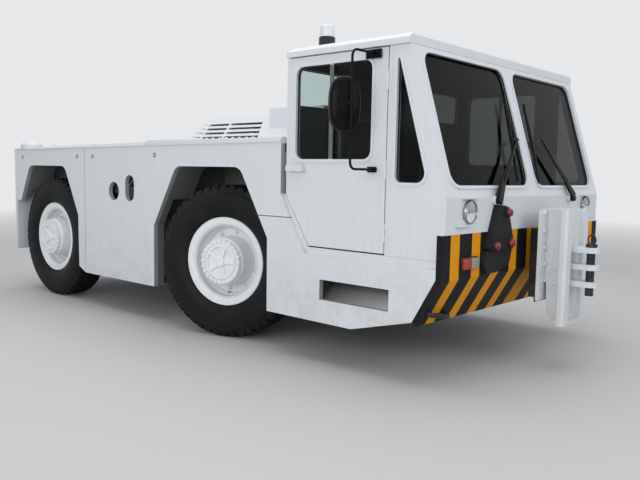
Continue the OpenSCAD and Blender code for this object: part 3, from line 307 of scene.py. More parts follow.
def add_box(bm, low, high, round_edges, segments=3):
    """Box between two corners with its edges rounded."""
    low, high = Vector(low), Vector(high)
    made = bmesh.ops.create_cube(bm, size=1, matrix=Matrix.Translation((low + high) / 2)
                                 @ Matrix.Diagonal((*(high - low), 1)))
    edges = list({edge for vert in made["verts"] for edge in vert.link_edges})
    bmesh.ops.bevel(bm, geom=edges, offset=round_edges, segments=segments, profile=0.5, affect="EDGES",
                    material=-1)


def face_outward(bm):
    bmesh.ops.recalc_face_normals(bm, faces=bm.faces)


def turned(bm, profile, steps, close=True):
    """Spins a profile of (radius, height) points once round Z."""
    verts = [bm.verts.new((radius, 0, height)) for radius, height in profile]
    edges = [bm.edges.new(pair) for pair in zip(verts, verts[1:])]
    if close:
        edges.append(bm.edges.new((verts[-1], verts[0])))
    bmesh.ops.spin(bm, geom=verts + edges, axis=(0, 0, 1), cent=(0, 0, 0), steps=steps, angle=math.tau,
                   use_merge=True)
    bmesh.ops.remove_doubles(bm, verts=bm.verts, dist=1e-5)
    face_outward(bm)


def merge_into(bm, part, place):
    """Adds a finished part at its place, turned the right way out."""
    part.transform(place)
    face_outward(part)
    if part.calc_volume(signed=True) < 0:
        bmesh.ops.reverse_faces(part, faces=part.faces)
    mesh = bpy.data.meshes.new("part")
    part.to_mesh(mesh)
    part.free()
    bm.from_mesh(mesh)
    bpy.data.meshes.remove(mesh)


def add_turned(bm, place, profile, steps, close=False):
    """Adds a turned part; an open profile starts and ends on the axis."""
    part = bmesh.new()
    turned(part, profile, steps, close)
    merge_into(bm, part, place)


def wheel_places():
    """Each wheel's name, its body and the matrix that sets its axis outboard."""
    for name, joint in joints.items():
        if not name.startswith("wheel_spin_"):
            continue
        corner = name.removeprefix("wheel_spin_")
        outboard = Vector(joint["axis"]).normalized() * (1 if corner.endswith("right") else -1)
        up = Vector((0, 0, 1))
        turn = Matrix((up.cross(outboard), up, outboard)).transposed().to_4x4()
        yield corner, joint["child"], Matrix.Translation(joint["pos_m"]) @ turn


def round_axis(place, share, radius, height):
    """A place on a circle round the axis, a share of one turn on."""
    return place @ Matrix.Rotation(math.tau * share, 4, "Z") @ Matrix.Translation((radius, 0, height))


wheel_paint = painted("wheel_paint", (0.80, 0.83, 0.835, 1), (0.66, 0.69, 0.69, 1), streaks=0.2, grime=0.15,
                      grime_height=1.25, roughness=0.36, peel=1.2)
for corner, body, place in wheel_places():
    finish_nodes(wheel_paint, f"wheel_{corner}")
    bm = bmesh.new()
    for index in range(WHEEL_NUTS):
        spot = round_axis(place, (index + 0.3) / WHEEL_NUTS, NUT_CIRCLE, NUT_SEAT)
        add_bolt(bm, spot, 0.019, 0.022)
        add_stubs(bm, spot, NUT_END, sides=12)
    for index in range(COVER_SCREWS):
        spot = round_axis(place, index / COVER_SCREWS, SCREW_CIRCLE, COVER_FACE)
        add_stubs(bm, spot, *COVER_SCREW, sides=12)
    piece_from(bm, f"wheel_nuts_{corner}", wheel_paint, body)
    bm = bmesh.new()
    for index in range(COVER_RIBS):
        part = bmesh.new()
        add_box(part, *COVER_RIB, 0.0055)
        merge_into(bm, part, round_axis(place, index / COVER_RIBS, 0, COVER_FACE))
    cover_face = round_axis(place, 0, 0, COVER_FACE)
    add_turned(bm, cover_face, COVER_RIM, 72, close=True)
    add_turned(bm, cover_face, COVER_BOSS, 40)
    piece_from(bm, f"hub_cover_{corner}", wheel_paint, body)


# Tyres
# 1.23 m cross-ply tyres in dark, slightly blue rubber, with square shoulder blocks cut by cross grooves, ribs
# between and a fine ring on the sidewall. A turned section whose blocks are raised from the groove floor.
RUBBER = (0.0105, 0.0112, 0.0125, 1)
RUBBER_DUST = (0.017, 0.0168, 0.0165, 1)
TYRE_LOW, TYRE_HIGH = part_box("tyre_rear_right")
TYRE_RADIUS = TYRE_HIGH.z / 2
TYRE_HALF = (TYRE_HIGH.y - TYRE_LOW.y) / 2
BEAD_RADIUS = 0.3555
BEAD_HALF = 0.1125
GROOVE_DEPTH = 0.017
TREAD_FROM = 0.560
LUG_FOOT = 0.548
SHOULDER_BLOCKS = 46
STEPS_PER_BLOCK = 4
TYRE_STEPS = SHOULDER_BLOCKS * STEPS_PER_BLOCK
RIB_EDGES = (0.014, 0.026, 0.066, 0.078)
GROOVE_FLOOR = TYRE_RADIUS - GROOVE_DEPTH
# Half the section from the bead to the tread's middle, all at groove floor level, as (radius, height).
HALF_SECTION = [
    (0.305, 0.1105), (BEAD_RADIUS, BEAD_HALF), (BEAD_RADIUS + 0.010, BEAD_HALF + 0.015),
    (BEAD_RADIUS + 0.026, TYRE_HALF - 0.018), (BEAD_RADIUS + 0.054, TYRE_HALF - 0.006),
    (BEAD_RADIUS + 0.085, TYRE_HALF - 0.001), (0.475, TYRE_HALF), (0.515, TYRE_HALF - 0.0025),
    (0.543, TYRE_HALF - 0.0080), (0.5465, TYRE_HALF - 0.0060), (0.550, TYRE_HALF - 0.0105),
    (0.566, TYRE_HALF - 0.018), (GROOVE_FLOOR - 0.004, TYRE_HALF - 0.034),
    (GROOVE_FLOOR, TYRE_HALF - 0.046), *((GROOVE_FLOOR, height) for height in (0.090, *reversed(RIB_EDGES))),
]


def plain_finish(name, color, other, scale, roughness, spread=0.15, metallic=0.0, bump=0.3, specular=0.5):
    """A mottled finish: two colours through noise, uneven gloss and a fine grain."""
    material, tree, surface = new_material(name)
    place = object_place(tree)
    mask = band(tree, noise(tree, place, scale, 5, 0.6), 0.42, 0.72)
    link(tree, mix_colors(tree, mask, color, other), surface.inputs["Base Color"])
    fine = noise(tree, place, scale * 14, 3, 0.6)
    rough = math_node(tree, "MULTIPLY_ADD", fine, spread, roughness - spread / 2)
    link(tree, rough, surface.inputs["Roughness"])
    add_relief(tree, surface, fine, bump, 0.001)
    set_inputs(surface, Metallic=metallic, Specular_IOR_Level=specular)
    return material


def is_raised(face):
    """True on a shoulder block or a rib, False in the grooves and on the sidewall."""
    centre = face.calc_center_median()
    if math.hypot(centre.x, centre.y) < TREAD_FROM:
        return False
    height = abs(centre.z)
    sector = int((math.atan2(centre.y, centre.x) % math.tau) / (math.tau / TYRE_STEPS) + 0.25)
    sector += 2 if centre.z < 0 else 0
    if height > RIB_EDGES[3]:
        return sector % STEPS_PER_BLOCK != 0
    if RIB_EDGES[1] < height < RIB_EDGES[2]:
        return (sector + 1) % (2 * STEPS_PER_BLOCK) != 0
    return height <= RIB_EDGES[0]


def extrude_up(bm, faces, **settings):
    """Extrudes faces and returns the new corners and faces."""
    made = bmesh.ops.extrude_face_region(bm, geom=faces, **settings)["geom"]
    kinds = (bmesh.types.BMVert, bmesh.types.BMFace)
    return [[item for item in made if isinstance(item, kind)] for kind in kinds]


rubber = plain_finish("rubber", RUBBER, RUBBER_DUST, 5, 0.5, spread=0.16, bump=0.15, specular=0.1)
section = HALF_SECTION + [(radius, -height) for radius, height in reversed(HALF_SECTION)]
for corner, body, place in wheel_places():
    bm = bmesh.new()
    turned(bm, section, TYRE_STEPS)
    raised = [face for face in bm.faces if is_raised(face)]
    for vert in extrude_up(bm, raised)[0]:
        radius = math.hypot(vert.co.x, vert.co.y)
        reach = min(GROOVE_DEPTH, (radius - LUG_FOOT) * 0.9)
        vert.co.x *= (radius + reach) / radius
        vert.co.y *= (radius + reach) / radius
    bmesh.ops.delete(bm, geom=raised, context="FACES")
    face_outward(bm)
    bm.transform(place)
    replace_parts(piece_from(bm, f"tread_{corner}", rubber, body), f"tyre_{corner}")


# Body plates and deck
# Heavy welded plate, sprayed off-white by hand over old coats: satin, with a slight orange peel, rain streaks
# down the sides and a little grime low down. Bolts hold the side plates, each on a dark grey disc of painted
# shade for the recess round its head; the arch linings and the plates' edges carry grey painted shade.
PAINT_WHITE = (0.66, 0.69, 0.715, 1)
PAINT_SHADE = (0.53, 0.56, 0.585, 1)
# Grey painted shade for the arch linings and the plates' edges, which lie in shadow.
LINING_SHADE = (0.15, 0.155, 0.15, 1)
BODY_STREAKS = 0.22
BODY_SIDE = 1.215
SIDE_BOLTS = ((-2.7285, 1.440), (-1.5825, 1.448), (-1.2985, 1.447), (-0.2965, 1.458))
BOLT_RECESS_SHADE = (-0.001, 0.0015, 0.020, 0.020)
BOLT_HEAD = (0.001, 0.006, 0.010, 0.008)
PLATE_INSIDE = 1.1745
EDGE_SHADE = 0.62
SILL_FROM_X = 1.235
SILL_Z = (0.72, 1.18)


def above(tree, value, limit):
    return math_node(tree, "GREATER_THAN", value, limit)


def below(tree, value, limit):
    return math_node(tree, "LESS_THAN", value, limit)


def either(tree, *masks):
    """1 where any mask is 1."""
    return chain(tree, "MAXIMUM", *masks)


def side_colors(tree, place, tones):
    """Painted shade on the arch linings, inside the plates and, but for the door's sill, on the plates'
    edges.
    """
    x, away, z = half_position(tree, place)
    # The arch linings and plate edges get grey painted shade, except on the door's sill.
    edge = math_node(tree, "MULTIPLY", below(tree, away, BODY_SIDE - 0.001), EDGE_SHADE)
    off_sill = either(tree, below(tree, z, SILL_Z[0]), above(tree, z, SILL_Z[1]), below(tree, x, SILL_FROM_X))
    dust_and_shade = either(tree, below(tree, away, PLATE_INSIDE), both(tree, edge, off_sill))
    return cover(tree, tones, dust_and_shade, LINING_SHADE)


body_paint = painted("body_paint", PAINT_WHITE, PAINT_SHADE, streaks=BODY_STREAKS)
side_paint = painted("side_paint", PAINT_WHITE, PAINT_SHADE, streaks=BODY_STREAKS, pattern=side_colors)
finish_nodes(body_paint, "deck_rear", "deck_front", "engine_cover")
finish_nodes(side_paint, "side_rear_right", "side_rear_left", "side_mid_right", "side_mid_left",
             "cab_skirt_right", "cab_skirt_left")

black_steel = plain_finish("black_steel", (0.014, 0.014, 0.014, 1), (0.05, 0.045, 0.04, 1), 25, 0.45,
                           specular=0.3)
# Dark grey discs under the side bolts: painted shade standing for the recesses round the heads.
bolt_recess_shade = plain_finish("bolt_recess_shade", (0.10, 0.105, 0.12, 1), (0.16, 0.165, 0.18, 1), 30, 0.6)
recess_shades = bmesh.new()
heads = bmesh.new()
for side in (-1, 1):
    for x, z in SIDE_BOLTS:
        spot = facing((x, side * BODY_SIDE, z), (0, side, 0))
        add_stubs(recess_shades, spot, BOLT_RECESS_SHADE)
        add_stubs(heads, spot, BOLT_HEAD, sides=6)
piece_from(recess_shades, "side_bolt_recess_shades", bolt_recess_shade)
piece_from(heads, "side_bolts", side_paint)


# Deck lid edges
# The folded edges of both deck lids, which lean out over the side plates and catch the light, and the painted
# dome-headed screws along the front lid.
TAIL_X = -2.9095
CAB_REAR = 1.2445
SEAM_Z = (1.512, 1.540)
LID_EDGES = ((-2.905, -0.4235, 1.5345, 1.5705), (-0.4155, 1.236, 1.5845, 1.5845))
FOLD_ABOVE_SEAM = 0.009
DECK_SCREWS = 13
DECK_SCREW_X = (0.290, 0.078)
DECK_SCREW_Y = 1.183
DECK_SCREW = ((-0.001, 0.006, 0.013, 0.012), (0.006, 0.011, 0.012, 0.006))
DECK_TOP = 1.584

edges = bmesh.new()
screws = bmesh.new()
for side in (-1, 1):
    for x0, x1, top0, top1 in LID_EDGES:
        corners = []
        for x, top in ((x0, top0), (x1, top1)):
            low = SEAM_Z[0] + (SEAM_Z[1] - SEAM_Z[0]) * (x - TAIL_X) / (CAB_REAR - TAIL_X) + FOLD_ABOVE_SEAM
            for y, z in ((1.2140, low), (1.2235, low), (1.2245, low + 0.003), (1.2165, top), (1.2140, top)):
                corners.append(edges.verts.new((x, side * y, z)))
        bmesh.ops.convex_hull(edges, input=corners)
    for index in range(DECK_SCREWS):
        x = DECK_SCREW_X[0] + DECK_SCREW_X[1] * index
        add_stubs(screws, Matrix.Translation((x, side * DECK_SCREW_Y, DECK_TOP)), *DECK_SCREW, sides=14)
face_outward(edges)
piece_from(edges, "lid_edges", body_paint)
piece_from(screws, "deck_screws", body_paint)


# Behind the ports
# A grey steel tank held by two straps behind the round port, and behind the oblong one the white filler pipe
# with its cap and a bent stay.
TANK_LOW = Vector((-1.43, -1.105, 1.103))
TANK_HIGH = Vector((-0.985, -0.62, 1.38))
STRAPS_X = (-1.37, -1.01)
STRAP_HALF = 0.016
STRAP_THICK = 0.004
PIPE_AT = (-0.905, -1.075, 0)
PIPE_STEPS = ((0.985, 1.075, 0.046, 0.046), (1.075, 1.125, 0.056, 0.056), (1.125, 1.148, 0.050, 0.050),
              (1.148, 1.168, 0.060, 0.060))
PIPE_STAY = ((-0.960, -1.050, 1.150), (-0.900, -1.055, 1.195), (-0.845, -1.060, 1.240),
             (-0.820, -1.060, 1.300))


def swept_bar(bm, path, radius, sides=12):
    """Round bar along the points of a path, closed at both ends."""
    points = [Vector(point) for point in path]
    ways = [(b - a).normalized() for a, b in zip(points, points[1:])]
    ring = bmesh.ops.create_circle(bm, cap_ends=True, segments=sides, radius=radius,
                                   matrix=facing(points[0], ways[0]))["verts"]
    face = ring[0].link_faces[0]
    tangent = ways[0]
    for index in range(1, len(points)):
        turn_to = (ways[index - 1] + ways[min(index, len(ways) - 1)]).normalized()
        turn = tangent.rotation_difference(turn_to).to_matrix()
        verts, faces = extrude_up(bm, [face], use_keep_orig=index == 1)
        for vert in verts:
            vert.co = points[index] + turn @ (vert.co - points[index - 1])
        if index > 1 and face.is_valid:
            bmesh.ops.delete(bm, geom=[face], context="FACES_ONLY")
        face = faces[0]
        tangent = turn_to


tank_grey = plain_finish("tank_grey", (0.19, 0.19, 0.215, 1), (0.10, 0.10, 0.115, 1), 8, 0.4)
filler_white = painted("filler_white", (0.88, 0.89, 0.90, 1), (0.70, 0.71, 0.72, 1), streaks=0.1, grime=0.1)
tank = bmesh.new()
add_box(tank, TANK_LOW, TANK_HIGH, 0.012, 4)
for x in STRAPS_X:
    add_box(tank, (x - STRAP_HALF, TANK_LOW.y - STRAP_THICK, TANK_LOW.z - STRAP_THICK),
            (x + STRAP_HALF, TANK_HIGH.y, TANK_HIGH.z + STRAP_THICK), 0.012, 4)
piece_from(tank, "fuel_tank", tank_grey)
pipe = bmesh.new()
add_stubs(pipe, Matrix.Translation(PIPE_AT), *PIPE_STEPS)
swept_bar(pipe, PIPE_STAY, 0.011)
face_outward(pipe)
piece_from(pipe, "filler_pipe", filler_white)


# Rear plate
# The tail plate in body white, its two-lipped towing jaw in black, and two round tail lamps a side with red
# and amber lenses standing out of it.
LAMP_RED = (0.32, 0.012, 0.012, 1)
LAMP_AMBER = (0.62, 0.10, 0.01, 1)
JAW_HALF = 0.20
AMBER_FROM_Z = 1.24


def tail_colors(tree, place, tones):
    """Black on the jaw, which stands out behind the plate's middle, and lenses on what does so beside it."""
    x, away, z = half_position(tree, place)
    jaw = both(tree, below(tree, x, TAIL_X - 0.0005), below(tree, away, JAW_HALF))
    lamp = both(tree, below(tree, x, TAIL_X - 0.003), above(tree, away, JAW_HALF))
    lens = mix_colors(tree, above(tree, z, AMBER_FROM_Z), LAMP_RED, LAMP_AMBER)
    return cover(tree, cover(tree, tones, jaw, CHASSIS_BLACK), lamp, lens)


tail_paint = painted("tail_paint", PAINT_WHITE, PAINT_SHADE, pattern=tail_colors, roughness=0.36)
finish_nodes(tail_paint, "rear_plate")


# Nose
# The bent front plate is white above the bumper line; below it, on the upright face and the undercut, runs
# black and orange-yellow hazard striping, painted in even bands from both corners inwards.
STRIPE_BLACK = (0.012, 0.012, 0.014, 1)
STRIPE_YELLOW = (0.70, 0.285, 0.006, 1)
STRIPE_TOP = 0.975
STRIPE_FIRST = 1.120
STRIPE_PITCH = 0.256
STRIPE_WIDTH = 0.105


def hazard_stripes(tree, place, tones):
    _, away, z = half_position(tree, place)
    from_corner = math_node(tree, "SUBTRACT", STRIPE_FIRST, away)
    along = math_node(tree, "FLOORED_MODULO", from_corner, STRIPE_PITCH)
    striped = mix_colors(tree, below(tree, along, STRIPE_WIDTH), STRIPE_BLACK, STRIPE_YELLOW)
    plain = above(tree, z, STRIPE_TOP)
    return [mix_colors(tree, plain, striped, tone) for tone in tones]


nose_paint = painted("nose_paint", PAINT_WHITE, PAINT_SHADE, streaks=BODY_STREAKS, grime=0.1,
                     pattern=hazard_stripes, specular=0.08)
finish_nodes(nose_paint, "cab_nose")


# Towing eyes
# A bent bar of round steel under each corner of the nose, welded to the undercut and painted black. A round
# section swept along one path, for both sides.
EYE_PATH = ((2.470, 1.165, 0.488), (2.510, 1.155, 0.474), (2.528, 1.110, 0.470), (2.520, 1.040, 0.458),
            (2.508, 0.970, 0.444), (2.488, 0.945, 0.440), (2.450, 0.940, 0.452))

black_gloss = plain_finish("black_gloss", (0.012, 0.012, 0.013, 1), (0.024, 0.023, 0.023, 1), 12, 0.4,
                           specular=0.3)
bm = bmesh.new()
for side in (-1, 1):
    swept_bar(bm, [(x, side * y, z) for x, y, z in EYE_PATH], 0.016)
face_outward(bm)
piece_from(bm, "towing_eyes", black_gloss)


# Front hitch
# Welded plate in body white on a black neck: a tall guide bar with three drawbar plates at different heights,
# bolted through its flange and cheeks, with the blackened tow pin through all three.
FLANGE_BACK = 2.7400
FLANGE_FRONT = 2.7625
FLANGE_BOLTS = ((0.185, 1.088), (0.171, 0.968), (0.157, 0.849), (0.144, 0.732), (0.130, 0.618))
CHEEK_BOLTS = ((2.838, 0.846), (2.845, 0.723), (2.851, 0.602))
CHEEK_FOOT_Y = 0.125
CHEEK_RUN = (126, 51)


def hitch_colors(tree, place, tones):
    """Black on the neck, behind the flange."""
    return cover(tree, tones, below(tree, split_position(tree, place)[0], FLANGE_BACK), STRIPE_BLACK)


hitch_paint = painted("hitch_paint", PAINT_WHITE, PAINT_SHADE, streaks=0.25, roughness=0.38, peel=0.9,
                      pattern=hitch_colors, specular=0.35)
finish_nodes(hitch_paint, "tow_hitch")
finish_nodes(black_steel, "tow_pin")
bm = bmesh.new()
for side in (-1, 1):
    for y, z in FLANGE_BOLTS:
        add_bolt(bm, facing((FLANGE_FRONT, side * y, z), (1, 0, 0)), 0.012, 0.010, washer=0.016)
    for x, z in CHEEK_BOLTS:
        lean = Vector((-CHEEK_RUN[1], side * CHEEK_RUN[0], 0)).normalized()
        y = CHEEK_FOOT_Y + (x - FLANGE_FRONT) * CHEEK_RUN[1] / CHEEK_RUN[0]
        add_bolt(bm, facing((x, side * y, z), lean), 0.010, 0.008, washer=0.014)
piece_from(bm, "hitch_bolts", body_paint)


# Cab shell
# Folded and welded sheet in the same off-white: rear wall, roof, windscreen wall and two hinged doors, with
# dark grey painted shade on the inner faces.
# Dark grey painted shade for the cab's inner faces and the back of the vent ducts.
INSIDE_SHADE = (0.05, 0.05, 0.054, 1)
BAR_GREY = (0.11, 0.125, 0.12, 1)
NOSE_FRONT = 2.6025
CAB_SIDE = 1.190
CEILING_Z = 2.1335
SCREEN_FOOT_Z = 1.200
SCREEN_ANGLE = math.atan2(0.283, 0.933)
WALL = 0.0385
BAR_FROM_Y = 1.14
BAR_X = (1.664, 1.697)
BAR_Z = (1.43, 2.055)


def cab_colors(tree, place, tones):
    """Painted shade on the inner faces, dull aluminium on the bar between a door's two panes."""
    x, away, z = half_position(tree, place)
    ahead = math_node(tree, "MULTIPLY", math_node(tree, "SUBTRACT", x, NOSE_FRONT), math.cos(SCREEN_ANGLE))
    above_foot = math_node(tree, "SUBTRACT", z, SCREEN_FOOT_Z)
    raised = math_node(tree, "MULTIPLY", above_foot, math.sin(SCREEN_ANGLE))
    off_screen = math_node(tree, "ADD", ahead, raised)
    # Inside the walls the paint is dark grey: painted shade for the cab's interior.
    shaded_inside = both(tree, below(tree, away, CAB_SIDE - WALL), above(tree, x, CAB_REAR + WALL),
                 below(tree, z, CEILING_Z), below(tree, off_screen, -WALL - 0.002))
    bar = both(tree, above(tree, away, BAR_FROM_Y), above(tree, x, BAR_X[0]), below(tree, x, BAR_X[1]),
               above(tree, z, BAR_Z[0]), below(tree, z, BAR_Z[1]))
    return cover(tree, cover(tree, tones, shaded_inside, INSIDE_SHADE), bar, BAR_GREY)


cab_paint = painted("cab_paint", PAINT_WHITE, PAINT_SHADE, streaks=BODY_STREAKS, pattern=cab_colors)
finish_nodes(cab_paint, "cab_rear_wall", "cab_roof", "cab_front_frame", "door_right", "door_left")


# Door jambs and vent ducts
# White sheet strips that close the cab's side behind each door's slanting edge, and grey sheet scoops behind
# the vents in the skirts, with painted light in the lower front and painted shade at the back and top.
JAMB = ((1.2425, 1.176), (1.2605, 1.176), (1.4885, 0.826), (1.4885, 0.790), (1.4640, 0.790), (1.3280, 1.016))
JAMB_Y = 1.169
JAMB_THICK = 0.034
DUCT_X = (1.610, 2.190)
DUCT_SECTION = ((1.168, 0.452), (1.168, 0.456), (0.960, 0.640), (0.956, 0.636))


def duct_colors(tree, place, tones):
    """Painted light and shade: the duct's grey in the lower front, dark grey painted shade towards the back
    and top.
    """
    x, _, z = split_position(tree, place)
    # The scoops' inside is painted: lighter low at the front, dark grey painted shade further back and up.
    lit = both(tree, band(tree, x, *DUCT_X), band(tree, z, 0.63, 0.47))
    return [mix_colors(tree, lit, INSIDE_SHADE, tone) for tone in tones]


def pane_face(bm, corners):
    """A flat outline in X and Y whose corners are (x, y, radius)."""
    flat = [Vector(corner[:2]) for corner in corners]
    verts = [bm.verts.new((point.x, point.y, 0)) for point in flat]
    bm.faces.new(verts)
    for index, vert in enumerate(verts):
        if not corners[index][2]:
            continue
        before = flat[index - 1] - flat[index]
        after = flat[(index + 1) % len(flat)] - flat[index]
        offset = corners[index][2] / math.tan(before.angle(after) / 2)
        bmesh.ops.bevel(bm, geom=[vert], offset=offset, segments=6, profile=0.5, affect="VERTICES",
                        material=-1)


def upright(axis_x, axis_y, at):
    """Matrix that lays an outline's X and Y along two axes at a place."""
    first, second = Vector(axis_x), Vector(axis_y)
    return Matrix.Translation(at) @ Matrix((first, second, first.cross(second))).transposed().to_4x4()


jambs = bmesh.new()
ducts = bmesh.new()
for side in (-1, 1):
    part = bmesh.new()
    pane_face(part, [(x, z, 0.0) for x, z in JAMB])
    part.normal_update()
    bmesh.ops.solidify(part, geom=part.faces[:], thickness=JAMB_THICK)
    middle = sum(vert.co.z for vert in part.verts) / len(part.verts)
    merge_into(jambs, part, upright((1, 0, 0), (0, 0, 1), (0, side * JAMB_Y + middle, 0)))
    corners = [ducts.verts.new((x, side * y, z)) for x in DUCT_X for y, z in DUCT_SECTION]
    bmesh.ops.convex_hull(ducts, input=corners)
face_outward(ducts)
piece_from(jambs, "door_jambs", body_paint)
duct_paint = painted("duct_paint", (0.55, 0.56, 0.57, 1), (0.40, 0.41, 0.42, 1), pattern=duct_colors)
piece_from(ducts, "vent_ducts", duct_paint)


# Rivets
# Pop rivets that hold the quarter windows' raised frames, painted over: a column of seven behind each window
# and two under it.
RIVET_COLUMN = [(2.2135, 1.616 + 0.0665 * index) for index in range(7)]
RIVET_ROW = [(2.30, 1.271), (2.38, 1.271)]
RIVET = (-0.001, 0.003, 0.0065, 0.004)
RAISED_FRAME = 0.008

bm = bmesh.new()
for side in (-1, 1):
    for x, z in RIVET_COLUMN + RIVET_ROW:
        add_stubs(bm, facing((x, side * (CAB_SIDE + RAISED_FRAME), z), (0, side, 0)), RIVET, sides=12)
piece_from(bm, "quarter_rivets", body_paint)


# Door locks
# A push-button lock under each pull handle: a round escutcheon and its button, painted over with the door.
# Both turn with the door leaf.
LOCK_AT = (1.395, 1.312)
LOCK = ((-0.001, 0.004, 0.019, 0.017), (0.004, 0.010, 0.011, 0.010))
SIDES = ((-1, "right"), (1, "left"))

for side, name in SIDES:
    bm = bmesh.new()
    add_stubs(bm, facing((LOCK_AT[0], side * CAB_SIDE, LOCK_AT[1]), (0, side, 0)), *LOCK)
    piece_from(bm, f"door_lock_{name}", body_paint, f"door_leaf_{name}")


# Glass
# Flat laminated panes, tinted grey in front and clear with a green cast elsewhere, set in thin black rubber
# seals.
SEAL_WIDTH = 0.007
SEAL_DEPTH = 0.009
SEAL_IN = 0.011
SCREEN_PANE = (0.062, 0.075, 1.100, 0.935, 0.090)
REAR_PANE = (0.600, 1.810, 1.110, 2.075, 0.050)
DOOR_PANE = (NOSE_FRONT - 1.240, 1.427, NOSE_FRONT - 0.572, 2.062, 0.060)
SCREEN_TINT = (0.062, 0.066, 0.061, 1)
CLEAR_TINT = (0.72, 0.80, 0.78, 1)
QUARTER_FROM_Y = 1.15
REAR_TO_X = 1.30
QUARTER_WINDOW = ((NOSE_FRONT - 0.376, 1.284, 0.040), (NOSE_FRONT - 0.134, 1.284, 0.060),
                  (NOSE_FRONT - 0.360, 2.050, 0.008), (NOSE_FRONT - 0.376, 2.050, 0.008))


def tinted_glass(name, tint, roughness=0.02, pattern=None):
    """Clear or tinted panes; the low index keeps the mirror image of the sky as faint as in the photo."""
    material, tree, surface = new_material(name)
    set_inputs(surface, Base_Color=tint, Roughness=roughness, Metallic=0.0, IOR=1.15, Transmission_Weight=1.0)
    if pattern:
        link(tree, pattern(tree, object_place(tree)), surface.inputs["Base Color"])
    return material


def pane_tints(tree, place):
    """The windscreen's panes are tinted; the quarter and rear panes are clear."""
    x, away, _ = half_position(tree, place)
    clear = either(tree, above(tree, away, QUARTER_FROM_Y), below(tree, x, REAR_TO_X))
    return mix_colors(tree, clear, SCREEN_TINT, CLEAR_TINT)


def pane_corners(left, low, right, high, radius):
    return ((left, low, radius), (right, low, radius), (right, high, radius), (left, high, radius))


def add_seal(bm, corners, place):
    """Rubber strip round the inside of an opening, resting on the glass."""
    part = bmesh.new()
    pane_face(part, corners)
    ring = bmesh.ops.inset_individual(part, faces=part.faces[:], thickness=SEAL_WIDTH)["faces"]
    bmesh.ops.delete(part, geom=[face for face in part.faces if face not in ring], context="FACES_ONLY")
    bmesh.ops.solidify(part, geom=part.faces[:], thickness=SEAL_DEPTH)
    merge_into(bm, part, place)


door_tint = tinted_glass("door_tint", CLEAR_TINT)
finish_nodes(tinted_glass("cab_panes", SCREEN_TINT, pattern=pane_tints), "cab_glass")
finish_nodes(door_tint, "door_glass_right", "door_glass_left")

seal_rubber = plain_finish("seal_rubber", (0.014, 0.014, 0.015, 1), (0.022, 0.022, 0.022, 1), 20, 0.55,
                           specular=0.3)
slope = Vector((-math.sin(SCREEN_ANGLE), 0, math.cos(SCREEN_ANGLE)))
screen_normal = Vector((math.cos(SCREEN_ANGLE), 0, math.sin(SCREEN_ANGLE)))
cab_seals = bmesh.new()
door_seals = {}
for side, name in SIDES:
    on_screen = upright((0, side, 0), slope, Vector((NOSE_FRONT, 0, SCREEN_FOOT_Z)) - screen_normal * SEAL_IN)
    on_side = upright((1, 0, 0), (0, 0, 1), (0, side * (CAB_SIDE - SEAL_IN), 0))
    on_rear = upright((0, side, 0), (0, 0, 1), (CAB_REAR + SEAL_IN, 0, 0))
    add_seal(cab_seals, pane_corners(*SCREEN_PANE), on_screen)
    add_seal(cab_seals, QUARTER_WINDOW, on_side)
    add_seal(cab_seals, pane_corners(*REAR_PANE), on_rear)
    door_seals[name] = bmesh.new()
    add_seal(door_seals[name], pane_corners(*DOOR_PANE), on_side)
piece_from(cab_seals, "cab_seals", seal_rubber)
for name, bm in door_seals.items():
    piece_from(bm, f"door_seal_{name}", seal_rubber, f"door_leaf_{name}")


# Cab floor, dashboard and steering wheel
# Dark grained lining over the floor and dashboard, and a steering wheel of hard black plastic. All three are
# CAD nodes with these finishes.
cab_lining = plain_finish("cab_lining", (0.05, 0.05, 0.055, 1), (0.07, 0.07, 0.075, 1), 10, 0.6)
black_plastic = plain_finish("black_plastic", (0.012, 0.012, 0.013, 1), (0.02, 0.02, 0.022, 1), 20, 0.35,
                             specular=0.3)
finish_nodes(cab_lining, "dashboard", "cab_floor")
finish_nodes(black_plastic, "steering_wheel")


# Seats
# Two sprung seats in black vinyl: a box stand of painted steel, a crowned cushion and a backrest with sewn
# channels. The pads are shaped by subdivision and pulled in between their corners.
SEAT_Y = 0.560
SEAT_BACK_X = 1.3445
SEAT_BOXES = ((0.09, 0.47, 0.19, 0.800, 1.02, 0.02), (0.06, 0.50, 0.22, 1.02, 1.062, 0.012))
SEAT_PADS = (("cushion", (0.03, -0.245, 1.058), (0.535, 0.245, 1.185), 2, (0.25, 0.5, 0.75)),
             ("backrest", (0.005, -0.235, 1.14), (0.115, 0.235, 1.745), 0, (0.2, 0.4, 0.6, 0.8)))
PAD_EDGE = 0.55
CHANNEL_DEPTH = 0.22
CHANNEL_WIDTH = 0.06


def shape_pad(unit, front, channels):
    """A point of a 2 m cube, moved: crowned on its front axis, pulled in at its sides, with sewn channels."""
    run = 2 - front
    fall = max(0, 1 - max(abs(unit.y), abs(unit[run])) ** 4) ** 0.5
    shaped = unit.copy()
    shaped[front] = unit[front] * (PAD_EDGE + (1 - PAD_EDGE) * fall)
    if unit[front] > 0.9:
        sewn = min(abs((unit[run] + 1) / 2 - channel) for channel in channels)
        shaped[front] -= CHANNEL_DEPTH * max(0, 1 - sewn / CHANNEL_WIDTH) * fall
    for axis, other in ((1, run), (run, 1)):
        shaped[axis] = unit[axis] * (1 - 0.035 * (1 - unit[other] ** 2) - 0.06 * abs(unit[front]) ** 3)
    return shaped


